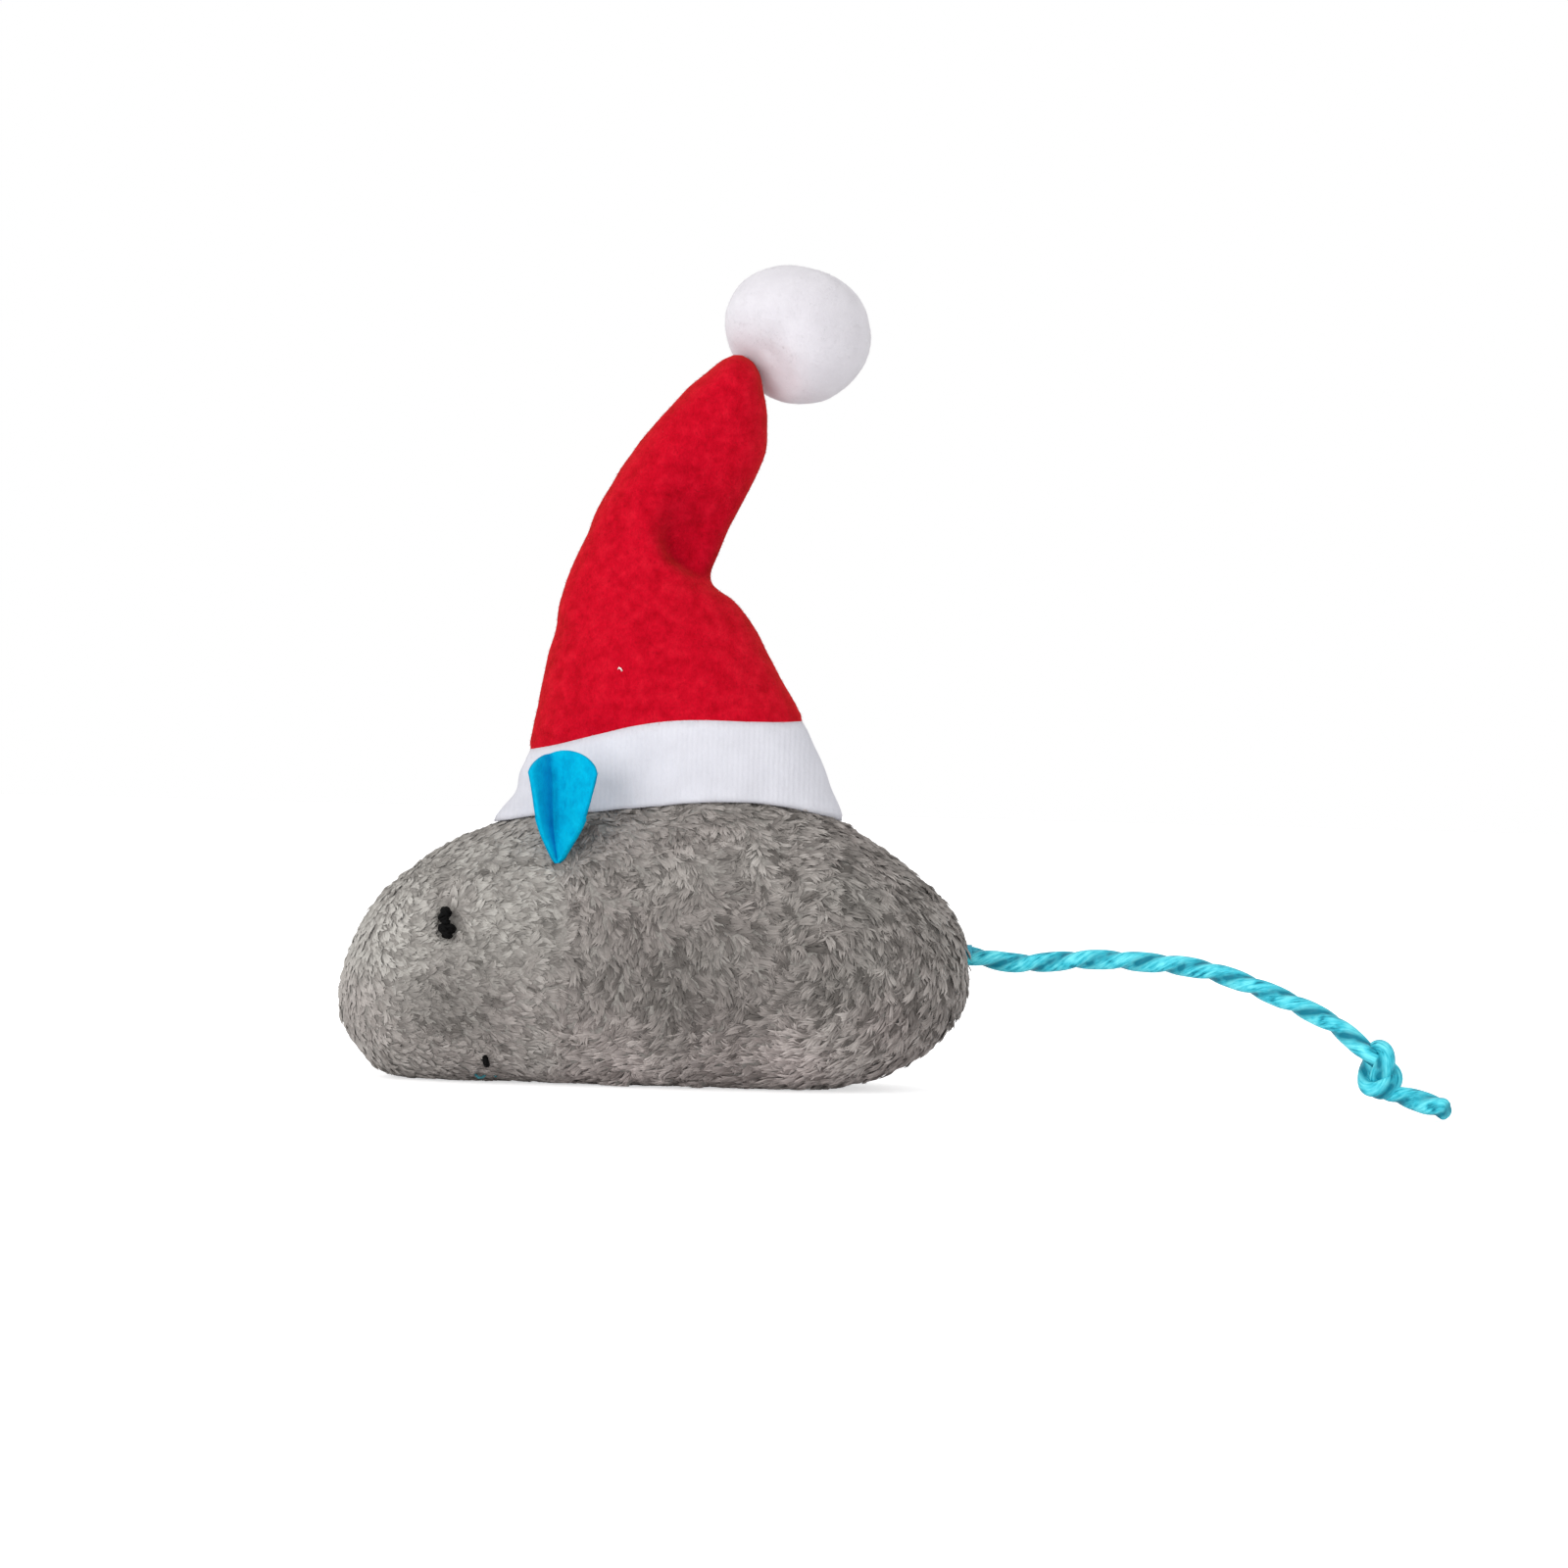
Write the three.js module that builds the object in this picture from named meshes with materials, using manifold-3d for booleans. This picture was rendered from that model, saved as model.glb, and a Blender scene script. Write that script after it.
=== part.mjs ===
// Plush mouse toy in a felt Christmas hat: a stuffed and catnip-filled pet toy with felt ears,
// stitched eyes, a fleece brim and pompom, and a knotted cord tail.
// Millimetres, +Z up, nose toward -X, tail toward +X, standing on the flat of its belly panel at Z 0.
import * as THREE from 'three';
import { mergeVertices } from 'three/addons/utils/BufferGeometryUtils.js';
import Module from 'manifold-3d';

const wasm = await Module();
wasm.setup();

// Fits shared by all pieces
const seamGap = 0.3;
const seatClearance = 0.3;
const cutOverrun = 60;

// Plush body: a skin of two side panels and a belly panel, swelling from nose to rump
const bodyLength = 100;
const bodyHeight = 48;
const bodyWidth = 46;
const plushThickness = 2.4;
const baseFlatDepth = 0.5;
const bellySeamHeight = 7;
const crownRoundness = 2.2;
const keelRoundness = 2.8;
// Crown, keel and half width at even turns of a half circle from nose to rump, where the ends round off
const bodyCrownShares = [0.255, 0.41, 0.611, 0.754, 0.852, 0.93, 0.975, 0.978, 0.918, 0.798, 0.679, 0.546, 0.367];
const bodyKeelShares = [0.265, 0.162, 0.034, 0.004, 0, 0, 0, 0, 0.004, 0.047, 0.14, 0.266, 0.377];
const bodyWidthShares = [0, 0.3, 0.54, 0.72, 0.85, 0.935, 0.985, 1, 0.965, 0.86, 0.68, 0.4, 0];

// Catnip pouch in a pocket of the stuffing that opens at the belly panel
const pouchLength = 36;
const pouchWidth = 22;
const pouchHeight = 12;
const pouchOffset = 4;

// Stitched eyes, each two thread knots in a dimple, and the thread between them that draws the dimples in
const eyeNoseDistance = 18.3;
const eyeHeight = 25.1;
const eyeKnotRadius = 1.25;
const eyeKnotSpacing = 2.4;
const eyeKnotOffset = 0.35;
const eyeSink = 0.5;
const eyeThreadRadius = 0.45;
const dimpleRadius = 7;
const dimpleDepth = 0.9;

// Felt ears, each a leaf folded along its length over a root roll that sits in the head dart
const earNoseDistance = 35.5;
const earRootHeight = 35.4;
const earHeight = 16.6;
const earWidth = 10.8;
const earRootRadius = 1.4;
const earRootLength = 3.6;
const earFeltThickness = 1.2;
const earFoldDepth = 3.2;
const earLeanOffset = 1.6;
const earTopOffset = 0.7;
const earFoldShare = -0.45;
// Half width of the leaf at even heights from root to top
const earWidthShares = [0.2, 0.35, 0.58, 0.74, 0.81, 0.86, 0.91, 0.955, 0.995, 0.89, 0.43];
const dartLength = 12;
const dartWidth = 0.8;
const dartDepth = 0.9;

// Felt hat with a fleece brim: a flattened cone that bends back at a crease
const hatOffset = 2.2;
const hatBaseHeight = 43;
const hatHeight = 71.3;
const hatBaseLength = 53.6;
const hatBaseDepth = 26;
const hatFeltThickness = 1.5;
const brimThickness = 3;
// Rings of the hat at even stations from below the brim to the tip
const hatAlongShares = [-0.015, 0, -0.019, -0.048, -0.095, -0.105, -0.079, -0.011, 0.071, 0.126, 0.164, 0.2];
const hatUpShares = [-0.07, 0.001, 0.178, 0.33, 0.468, 0.527, 0.59, 0.698, 0.809, 0.897, 0.954, 1];
const hatLengthShares = [1.078, 1, 0.821, 0.668, 0.504, 0.414, 0.393, 0.377, 0.341, 0.264, 0.192, 0];
const hatDepthShares = [1.1, 1, 0.85, 0.74, 0.6, 0.54, 0.51, 0.51, 0.48, 0.42, 0.31, 0];
const hatTiltDegrees = [1, 1.6, 6, 3.4, 1.5, -5.2, -7.4, -12, -13.3, -17.7, -24, -26];
const brimSeamStation = 2;
// Both sides fall in over the stations above the crease, most at its tail end
const creaseStation = 5;
const creaseDentDepth = 2.6;
const creaseDentStations = 2.4;
const hatLiningEndShare = 0.93;

// Fleece pompom gathered round a ball of fibre and sewn over the tip of the hat
const pompomRadius = 11.8;
const pompomSquashShare = 0.93;
const pompomCoverThickness = 2;
const pompomSeatDepth = 2.7;
const pompomRiseDegrees = 33.5;
const pompomNeckRadius = 2.6;

// Cord tail: sewn through the rump seam on a knot inside, knotted again near its cut end
const cordDiameter = 3.2;
const tailExitHeight = 21.6;
const tailInnerLength = 9;
const tailStopperRadius = 3.2;
const tailKnotWidth = 8.6;
const tailKnotLobes = 3;
const tailKnotLobeDepth = 0.55;
// Centreline of the tail from the rump to its overhand knot, then from the knot to its cut end on the floor
const tailRoute = [
  [50.65, 0, 21.6], [51.7, 0, 21.5], [55, -0.6, 20.5], [59.3, -1.7, 20.5], [68.3, -4.9, 21.6], [77.3, -9, 21.5],
  [86, -13.8, 20.8], [94.6, -19.3, 18], [103, -25.3, 14.4], [106.3, -27.9, 12.4], [109, -30.1, 10.4],
];
const stubRoute = [
  [113.2, -33.7, 5.1], [115.2, -35.4, 3.7], [116.8, -36.8, 2.7], [118.4, -38.3, 1.98], [120, -39.8, 1.62],
];

// Facets of the round pieces
const skinSteps = 28;
const skinSides = 28;
const liningSteps = 18;
const liningSides = 18;
const hatSteps = 24;
const hatSides = 24;
const fineBall = [24, 16];
const plainBall = [18, 12];
const smallBall = [12, 8];
const cordSides = 8;
const rollSides = 14;
const leafColumns = 8;
const leafRows = 12;
const knotSteps = 14;

// Materials in the colours of the toy
const plush = { color: 0x8c8580, roughness: 0.95 };
const fibre = { color: 0xe9e6df, roughness: 1 };
const muslin = { color: 0xcfc6ae, roughness: 0.9 };
const blackThread = { color: 0x171514, roughness: 0.7 };
const blueFelt = { color: 0x00a9e0, roughness: 0.9 };
const redFelt = { color: 0xd3182a, roughness: 0.95 };
const whiteFleece = { color: 0xe6e6ec, roughness: 1 };
const turquoiseCord = { color: 0x52cfe6, roughness: 0.6 };

// Smooth value at a place from 0 to 1 along evenly spaced shares
function shareAt(shares, along) {
  const last = shares.length - 1;
  const place = THREE.MathUtils.clamp(along, 0, 1) * last;
  const i = Math.min(Math.floor(place), last - 1);
  const [start, end] = [shares[i], shares[i + 1]];
  const before = i > 0 ? shares[i - 1] : 2 * start - end;
  const after = i < last - 1 ? shares[i + 2] : 2 * end - start;
  const f = place - i;
  const [leave, arrive] = [(end - before) / 2, (after - start) / 2];
  return start + f * leave + f * f * (3 * (end - start) - 2 * leave - arrive)
    + f * f * f * (2 * (start - end) + leave + arrive);
}

const signedPower = (value, power) => Math.sign(value) * Math.abs(value) ** power;

// Indexed geometry from points and triangles, turned right side out
function closedGeometry(points, triangles) {
  let volume = 0;
  const normal = new THREE.Vector3();
  for (const [a, b, c] of triangles) {
    volume += normal.crossVectors(points[a], points[b]).dot(points[c]);
  }
  const facing = volume < 0 ? triangles.map(([a, b, c]) => [a, c, b]) : triangles;
  const geometry = new THREE.BufferGeometry().setFromPoints(points);
  geometry.setIndex(facing.flat());
  return geometry;
}

// Closed loft through rings of points, its two ends fanned to the given end points
function loftRings(rings, firstEnd, lastEnd) {
  const sides = rings[0].length;
  const points = [...rings.flat(), firstEnd, lastEnd];
  const triangles = [];
  const lastRing = (rings.length - 1) * sides;
  for (let j = 0; j < sides; j++) {
    const next = (j + 1) % sides;
    for (let ring = 0; ring < lastRing; ring += sides) {
      triangles.push([ring + j, ring + next, ring + sides + j]);
      triangles.push([ring + next, ring + sides + next, ring + sides + j]);
    }
    triangles.push([points.length - 2, next, j]);
    triangles.push([points.length - 1, lastRing + j, lastRing + next]);
  }
  return closedGeometry(points, triangles);
}

// Closed thin solid of even thickness about a surface given by across (-1 to 1) and up (0 to 1)
function sheetGeometry(pointAt, columns, rows, thickness) {
  const step = 1e-3;
  const points = [];
  for (const face of [-1, 1]) {
    for (let row = 0; row <= rows; row++) {
      for (let column = 0; column <= columns; column++) {
        const across = 2 * column / columns - 1;
        const up = THREE.MathUtils.clamp(row / rows, step, 1 - step);
        const alongAcross = pointAt(across + step, up).sub(pointAt(across - step, up));
        const alongUp = pointAt(across, up + step).sub(pointAt(across, up - step));
        const normal = alongAcross.cross(alongUp).normalize();
        points.push(pointAt(across, row / rows).addScaledVector(normal, face * thickness / 2));
      }
    }
  }
  const wide = columns + 1;
  const layer = wide * (rows + 1);
  const triangles = [];
  const quad = (a, b, c, d) => triangles.push([a, b, c], [a, c, d]);
  for (let row = 0; row < rows; row++) {
    for (let column = 0; column < columns; column++) {
      const corner = row * wide + column;
      quad(corner, corner + wide, corner + wide + 1, corner + 1);
      quad(layer + corner, layer + corner + 1, layer + corner + wide + 1, layer + corner + wide);
    }
  }
  const rim = [];
  for (let column = 0; column < columns; column++) rim.push(column);
  for (let row = 0; row < rows; row++) rim.push(row * wide + columns);
  for (let column = columns; column > 0; column--) rim.push(rows * wide + column);
  for (let row = rows; row > 0; row--) rim.push(row * wide);
  rim.forEach((here, k) => {
    const next = rim[(k + 1) % rim.length];
    quad(here, next, layer + next, layer + here);
  });
  return closedGeometry(points, triangles);
}

// Closed tube of the cord's section along a smooth curve through the route's points
function tubeGeometry(route, diameter, sides, stepLength) {
  const curve = new THREE.CatmullRomCurve3(route.map((place) => new THREE.Vector3(...place)));
  const section = new THREE.Shape();
  for (let j = 0; j < sides; j++) {
    const angle = 2 * Math.PI * j / sides;
    const corner = [Math.cos(angle) * diameter / 2, Math.sin(angle) * diameter / 2];
    if (j === 0) section.moveTo(...corner);
    else section.lineTo(...corner);
  }
  const steps = Math.max(4, Math.ceil(curve.getLength() / stepLength));
  return new THREE.ExtrudeGeometry(section, { steps, bevelEnabled: false, extrudePath: curve });
}

// Solid from a closed geometry, for joining and cutting
function solid(geometry) {
  const bare = geometry.clone();
  bare.deleteAttribute('normal');
  bare.deleteAttribute('uv');
  const merged = mergeVertices(bare);
  return new wasm.Manifold(new wasm.Mesh({
    numProp: 3,
    vertProperties: new Float32Array(merged.attributes.position.array),
    triVerts: new Uint32Array(merged.index.array),
  }));
}

// Named mesh from a solid and its material
function pieceMesh(name, shape, material) {
  const { vertProperties, triVerts } = shape.getMesh();
  const geometry = new THREE.BufferGeometry();
  geometry.setAttribute('position', new THREE.BufferAttribute(vertProperties, 3));
  geometry.setIndex(new THREE.BufferAttribute(triVerts, 1));
  geometry.computeVertexNormals();
  const mesh = new THREE.Mesh(geometry, new THREE.MeshStandardMaterial({ metalness: 0, ...material }));
  mesh.name = name;
  return mesh;
}

// Box from its lowest to its highest corner
function boxSolid(low, high) {
  const [from, to] = [new THREE.Vector3(...low), new THREE.Vector3(...high)];
  const span = to.clone().sub(from);
  const middle = from.add(to).multiplyScalar(0.5);
  return solid(new THREE.BoxGeometry(span.x, span.y, span.z).translate(middle.x, middle.y, middle.z));
}

// Ellipsoid about a centre
function ellipsoidSolid(centre, radii, around, rows) {
  const ball = new THREE.SphereGeometry(1, around, rows);
  return solid(ball.scale(...radii).translate(centre.x, centre.y, centre.z));
}

// Bar from one point to another
function barSolid(from, to, radius, sides) {
  const span = to.clone().sub(from);
  const bar = new THREE.CylinderGeometry(radius, radius, span.length(), sides);
  const turn = new THREE.Quaternion().setFromUnitVectors(new THREE.Vector3(0, 1, 0), span.clone().normalize());
  const middle = from.clone().add(to).multiplyScalar(0.5);
  return solid(bar.applyQuaternion(turn).translate(middle.x, middle.y, middle.z));
}

// Body section at a share of the half turn from nose to rump
function bodySection(turn) {
  const crown = shareAt(bodyCrownShares, turn) * bodyHeight;
  const keel = shareAt(bodyKeelShares, turn) * bodyHeight - baseFlatDepth;
  return {
    along: -bodyLength / 2 * Math.cos(Math.PI * turn),
    middle: (crown + keel) / 2,
    halfHeight: (crown - keel) / 2,
    halfWidth: shareAt(bodyWidthShares, turn) * bodyWidth / 2,
  };
}

// Closed form of the body, drawn in by an inset all round
function bodyForm(inset, steps, sides) {
  const place = (section, angle) => {
    const [across, up] = [Math.cos(angle), Math.sin(angle)];
    const power = 2 / (up > 0 ? crownRoundness : keelRoundness);
    return new THREE.Vector3(section.along, section.halfWidth * signedPower(across, power),
      section.middle + section.halfHeight * signedPower(up, power));
  };
  const rings = [];
  for (let k = 1; k < steps; k++) {
    const section = bodySection(k / steps);
    rings.push(Array.from({ length: sides }, (_, j) => place(section, 2 * Math.PI * (j + 0.5) / sides)));
  }
  const [nose, rump] = [0, 1].map((turn) => {
    const { along, middle } = bodySection(turn);
    return new THREE.Vector3(along, 0, middle);
  });
  const form = loftRings(rings, nose, rump).translate(0, 0, -bodyHeight / 2);
  form.scale(1 - 2 * inset / bodyLength, 1 - 2 * inset / bodyWidth, 1 - 2 * inset / bodyHeight);
  return solid(form.translate(0, 0, bodyHeight / 2));
}

// Half width of the body's surface at a place along it and a height
function bodyReach(along, height) {
  const turn = Math.acos(-2 * along / bodyLength) / Math.PI;
  const { middle, halfHeight, halfWidth } = bodySection(turn);
  const roundness = height > middle ? crownRoundness : keelRoundness;
  return halfWidth * (1 - Math.abs((height - middle) / halfHeight) ** roundness) ** (1 / roundness);
}

const bodyEnvelope = bodyForm(0, skinSteps, skinSides);
const bodyClearance = bodyForm(-seatClearance, skinSteps, skinSides);

const eyeAlong = eyeNoseDistance - bodyLength / 2;
const earAlong = earNoseDistance - bodyLength / 2;

// Centre of an eye, sunk below the bottom of its dimple; side is -1 on the left and 1 on the right
function eyeCentre(side) {
  const reach = bodyReach(eyeAlong, eyeHeight) - dimpleDepth - eyeSink;
  return new THREE.Vector3(eyeAlong, side * reach, eyeHeight);
}

// Two thread knots, one above the other, grown by a clearance when they cut their seat
function eyeSolid(side, grow) {
  const radius = eyeKnotRadius + grow;
  const centre = eyeCentre(side);
  const knots = [-1, 1].map((end) => ellipsoidSolid(
    centre.clone().add(new THREE.Vector3(-end * eyeKnotOffset, 0, end * eyeKnotSpacing / 2)),
    [radius, radius, eyeKnotSpacing / 2 + eyeKnotOffset + grow], ...smallBall));
  return knots[0].add(knots[1]);
}

function eyeDimple(side) {
  const reach = bodyReach(eyeAlong, eyeHeight) + dimpleRadius - dimpleDepth;
  const centre = new THREE.Vector3(eyeAlong, side * reach, eyeHeight);
  return ellipsoidSolid(centre, [dimpleRadius, dimpleRadius, dimpleRadius], ...fineBall);
}

// Thread from the back of one eye through the head to the back of the other
function eyeThreadSolid(grow) {
  const end = eyeCentre(1);
  end.y -= eyeKnotRadius + seatClearance - grow;
  return barSolid(new THREE.Vector3(end.x, -end.y, end.z), end, eyeThreadRadius + grow, cordSides);
}

// Middle of an ear's root roll, which is also its hinge, on the body's surface
function earRoot(side) {
  return new THREE.Vector3(earAlong, side * bodyReach(earAlong, earRootHeight), earRootHeight);
}

// Folded leaf rising from its root roll
function earSolid(side, grow) {
  const root = earRoot(side);
  const pointAt = (across, up) => {
    const half = shareAt(earWidthShares, up) * earWidth / 2 + grow;
    const fold = Math.abs(across - earFoldShare) * earFoldDepth * Math.min(1, 2 * up);
    return new THREE.Vector3(root.x + earTopOffset * up + across * half,
      root.y + side * (fold - earLeanOffset * up), root.z + earHeight * up);
  };
  const leaf = solid(sheetGeometry(pointAt, leafColumns, leafRows, earFeltThickness + 2 * grow));
  const halfRoll = new THREE.Vector3(earRootLength / 2 + grow, 0, 0);
  const roll = barSolid(root.clone().sub(halfRoll), root.clone().add(halfRoll), earRootRadius + grow, rollSides);
  return leaf.add(roll);
}

// Shallow groove of the head dart, running down the panel from the ear's root
function dartSolid(side) {
  const root = earRoot(side);
  const low = [root.x - dartWidth / 2, Math.min(0, side * bodyWidth), root.z - dartLength];
  const high = [root.x + dartWidth / 2, Math.max(0, side * bodyWidth), root.z];
  return boxSolid(low, high).subtract(bodyForm(dartDepth, skinSteps, skinSides));
}

const tailExit = new THREE.Vector3(bodyLength / 2 + seatClearance, 0, tailExitHeight);

// Inner end of the tail, held by a stopper knot behind the rump seam
function tailAnchorSolid(grow) {
  const stopper = tailExit.clone().sub(new THREE.Vector3(tailInnerLength, 0, 0));
  const radius = tailStopperRadius + grow;
  const stem = barSolid(stopper, tailExit.clone().add(new THREE.Vector3(grow, 0, 0)),
    cordDiameter / 2 + grow, cordSides);
  return ellipsoidSolid(stopper, [radius, radius, radius], ...smallBall).add(stem);
}

// Pillow of dried herb, and the pocket for it that opens downward
function pouchSolid(grow) {
  const radii = [pouchLength / 2 + grow, pouchWidth / 2 + grow, pouchHeight / 2 + grow];
  return ellipsoidSolid(pouchCentre(), radii, ...plainBall);
}

function pouchCentre() {
  const floor = plushThickness + seatClearance;
  return new THREE.Vector3(pouchOffset, 0, floor + pouchHeight / 2);
}

function pouchPocket() {
  const centre = pouchCentre();
  const mouth = new THREE.CylinderGeometry(1, 1, 1, liningSides).rotateX(Math.PI / 2);
  mouth.scale(pouchLength / 2 + seatClearance, pouchWidth / 2 + seatClearance, centre.z);
  mouth.translate(centre.x, centre.y, centre.z / 2);
  return pouchSolid(seatClearance).add(solid(mouth));
}

// Side and belly panels of plush, with the seats of the eyes, ears and tail
function skinPieces() {
  const floor = boxSolid([-bodyLength, -bodyWidth, 0], [bodyLength, bodyWidth, bodyHeight + cutOverrun]);
  const skin = bodyEnvelope.intersect(floor).subtract(bodyForm(plushThickness, liningSteps, liningSides));
  const half = seamGap / 2;
  const panel = (side) => {
    const inner = side * half;
    const outer = side * bodyWidth;
    const low = [-bodyLength, Math.min(inner, outer), bellySeamHeight + half];
    const high = [bodyLength, Math.max(inner, outer), bodyHeight + cutOverrun];
    return skin.intersect(boxSolid(low, high))
      .subtract(eyeDimple(side)).subtract(eyeSolid(side, seatClearance)).subtract(eyeThreadSolid(seatClearance))
      .subtract(earSolid(side, seatClearance)).subtract(dartSolid(side))
      .subtract(tailAnchorSolid(seatClearance));
  };
  const below = boxSolid([-bodyLength, -bodyWidth, -cutOverrun], [bodyLength, bodyWidth, bellySeamHeight - half]);
  return [
    pieceMesh('side_panel_left', panel(-1), plush),
    pieceMesh('side_panel_right', panel(1), plush),
    pieceMesh('belly_panel', skin.intersect(below), plush),
  ];
}

// Fibre stuffing, catnip pouch, tail anchor and the thread through the head
function innerPieces() {
  const stuffing = bodyForm(plushThickness + seatClearance, liningSteps, liningSides)
    .subtract(pouchPocket()).subtract(tailAnchorSolid(seatClearance)).subtract(eyeThreadSolid(seatClearance))
    .subtract(eyeSolid(-1, seatClearance)).subtract(eyeSolid(1, seatClearance))
    .subtract(earSolid(-1, seatClearance)).subtract(earSolid(1, seatClearance));
  return [
    pieceMesh('stuffing', stuffing, fibre),
    pieceMesh('catnip_pouch', pouchSolid(0), muslin),
    pieceMesh('tail_anchor', tailAnchorSolid(0), turquoiseCord),
    pieceMesh('eye_thread', eyeThreadSolid(0), blackThread),
  ];
}

const hatStations = hatUpShares.length - 1;

// Ring of the hat at a share of the way from below the brim to the tip
function hatRing(along) {
  return {
    centre: new THREE.Vector3(hatOffset + shareAt(hatAlongShares, along) * hatBaseLength, 0,
      hatBaseHeight + shareAt(hatUpShares, along) * hatHeight),
    halfLength: shareAt(hatLengthShares, along) * hatBaseLength / 2,
    halfDepth: shareAt(hatDepthShares, along) * hatBaseDepth / 2,
    tilt: THREE.MathUtils.degToRad(shareAt(hatTiltDegrees, along)),
  };
}

// How far a side of the hat falls in above the crease, on its half toward the tail
function creaseDent(along, angle) {
  const above = (along * hatStations - creaseStation) / creaseDentStations;
  if (above <= 0 || above >= 1 || Math.cos(angle) <= 0) return 0;
  return creaseDentDepth * Math.sin(Math.PI * Math.sqrt(above)) * Math.sqrt(Math.cos(angle));
}

// Closed form of the hat from below the brim to a share of its way up, drawn in by an inset
function hatForm(inset, endShare, steps, sides) {
  const rings = [];
  const ringCount = endShare < 1 ? steps : steps - 1;
  for (let k = 0; k <= ringCount; k++) {
    const along = endShare * k / steps;
    const { centre, halfLength, halfDepth, tilt } = hatRing(along);
    rings.push(Array.from({ length: sides }, (_, j) => {
      const angle = 2 * Math.PI * (j + 0.5) / sides;
      const reach = (halfLength - inset) * Math.cos(angle);
      return new THREE.Vector3(centre.x + reach * Math.cos(tilt),
        (halfDepth - inset - creaseDent(along, angle)) * Math.sin(angle), centre.z + reach * Math.sin(tilt));
    }));
  }
  return solid(loftRings(rings, hatRing(0).centre, hatRing(endShare).centre));
}

// Everything above the plane of a hat station, lifted by an offset along the hat
function aboveStation(station, offset) {
  const { centre, tilt } = hatRing(station / hatStations);
  const reach = hatHeight + cutOverrun;
  const block = new THREE.BoxGeometry(2 * reach, 2 * reach, reach).translate(0, 0, reach / 2 + offset);
  return solid(block.rotateY(-tilt).translate(centre.x, 0, centre.z));
}

// Fleece brim, felt cone up to the crease, and the felt tip above it
function hatPieces() {
  const outside = hatForm(0, 1, hatSteps, hatSides);
  const felt = outside.subtract(hatForm(hatFeltThickness, hatLiningEndShare, hatSteps, hatSides));
  const fleece = outside.subtract(hatForm(brimThickness, hatLiningEndShare, hatSteps, hatSides));
  const half = seamGap / 2;
  const brim = fleece.subtract(aboveStation(brimSeamStation, -half)).subtract(bodyClearance)
    .subtract(boxSolid([-bodyLength, -bodyWidth, -cutOverrun], [bodyLength, bodyWidth, bodyHeight / 2]))
    .subtract(earSolid(-1, seatClearance)).subtract(earSolid(1, seatClearance));
  const cone = felt.intersect(aboveStation(brimSeamStation, half)).subtract(aboveStation(creaseStation, -half));
  return [
    pieceMesh('hat_brim', brim, whiteFleece),
    pieceMesh('hat_cone', cone, redFelt),
    pieceMesh('hat_tip', felt.intersect(aboveStation(creaseStation, half)), redFelt),
  ];
}

// Gathered fleece cover of the pompom with its neck toward the hat's tip, and its ball of fibre
function pompomPieces() {
  const tip = hatRing(1).centre;
  const rise = THREE.MathUtils.degToRad(pompomRiseDegrees);
  const outward = new THREE.Vector3(Math.cos(rise), 0, Math.sin(rise));
  const centre = tip.clone().addScaledVector(outward, pompomRadius - pompomSeatDepth);
  const ball = (inset, facets) => {
    const radius = pompomRadius - inset;
    return ellipsoidSolid(centre, [radius, radius, pompomSquashShare * radius], ...facets);
  };
  const tipSeat = hatForm(-seatClearance, 1, hatSteps, hatSides);
  const neck = barSolid(centre.clone().addScaledVector(outward, -pompomRadius - cutOverrun), centre,
    pompomNeckRadius, rollSides);
  const cover = ball(0, fineBall).subtract(ball(pompomCoverThickness, plainBall)).subtract(neck).subtract(tipSeat);
  const filling = ball(pompomCoverThickness + seatClearance, plainBall).subtract(tipSeat);
  return [
    pieceMesh('pompom_cover', cover, whiteFleece),
    pieceMesh('pompom_filling', filling, fibre),
  ];
}

function facePieces() {
  return [-1, 1].flatMap((side) => {
    const name = side < 0 ? 'left' : 'right';
    return [
      pieceMesh(`eye_${name}`, eyeSolid(side, 0), blackThread),
      pieceMesh(`ear_${name}`, earSolid(side, 0), blueFelt),
    ];
  });
}

// Drawn-up knot between the free tail and its stub: a lobed lump whose lobes turn about it as the cord does
function knotForm() {
  const from = new THREE.Vector3(...tailRoute.at(-1));
  const to = new THREE.Vector3(...stubRoute[0]);
  const along = to.clone().sub(from);
  const gapShare = seatClearance / along.length();
  const [start, end] = [gapShare, 1 - gapShare].map((share) => from.clone().addScaledVector(along, share));
  const rings = [];
  for (let k = 1; k < knotSteps; k++) {
    const share = k / knotSteps;
    const swell = Math.sin(Math.PI * share) ** 0.6;
    const radius = cordDiameter / 2 + (tailKnotWidth - cordDiameter) / 2 * swell;
    rings.push(Array.from({ length: liningSides }, (_, j) => {
      const angle = 2 * Math.PI * j / liningSides;
      const lobe = tailKnotLobeDepth * swell * Math.cos(tailKnotLobes * angle + 2 * Math.PI * share);
      const reach = radius - tailKnotLobeDepth + lobe;
      return new THREE.Vector3(share * start.distanceTo(end), reach * Math.cos(angle), reach * Math.sin(angle));
    }));
  }
  const form = loftRings(rings, new THREE.Vector3(0, 0, 0), new THREE.Vector3(start.distanceTo(end), 0, 0));
  const turn = new THREE.Quaternion().setFromUnitVectors(new THREE.Vector3(1, 0, 0), along.normalize());
  return solid(form.applyQuaternion(turn).translate(start.x, start.y, start.z));
}

function tailPieces() {
  const stepLength = 2.5 * cordDiameter;
  return [
    pieceMesh('tail_cord', solid(tubeGeometry(tailRoute, cordDiameter, cordSides, stepLength)), turquoiseCord),
    pieceMesh('tail_knot', knotForm(), turquoiseCord),
    pieceMesh('tail_stub', solid(tubeGeometry(stubRoute, cordDiameter, cordSides, stepLength)), turquoiseCord),
  ];
}

const toy = new THREE.Group();
toy.add(...skinPieces(), ...innerPieces(), ...hatPieces(), ...pompomPieces(), ...facePieces(), ...tailPieces());

export default toy;
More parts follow.
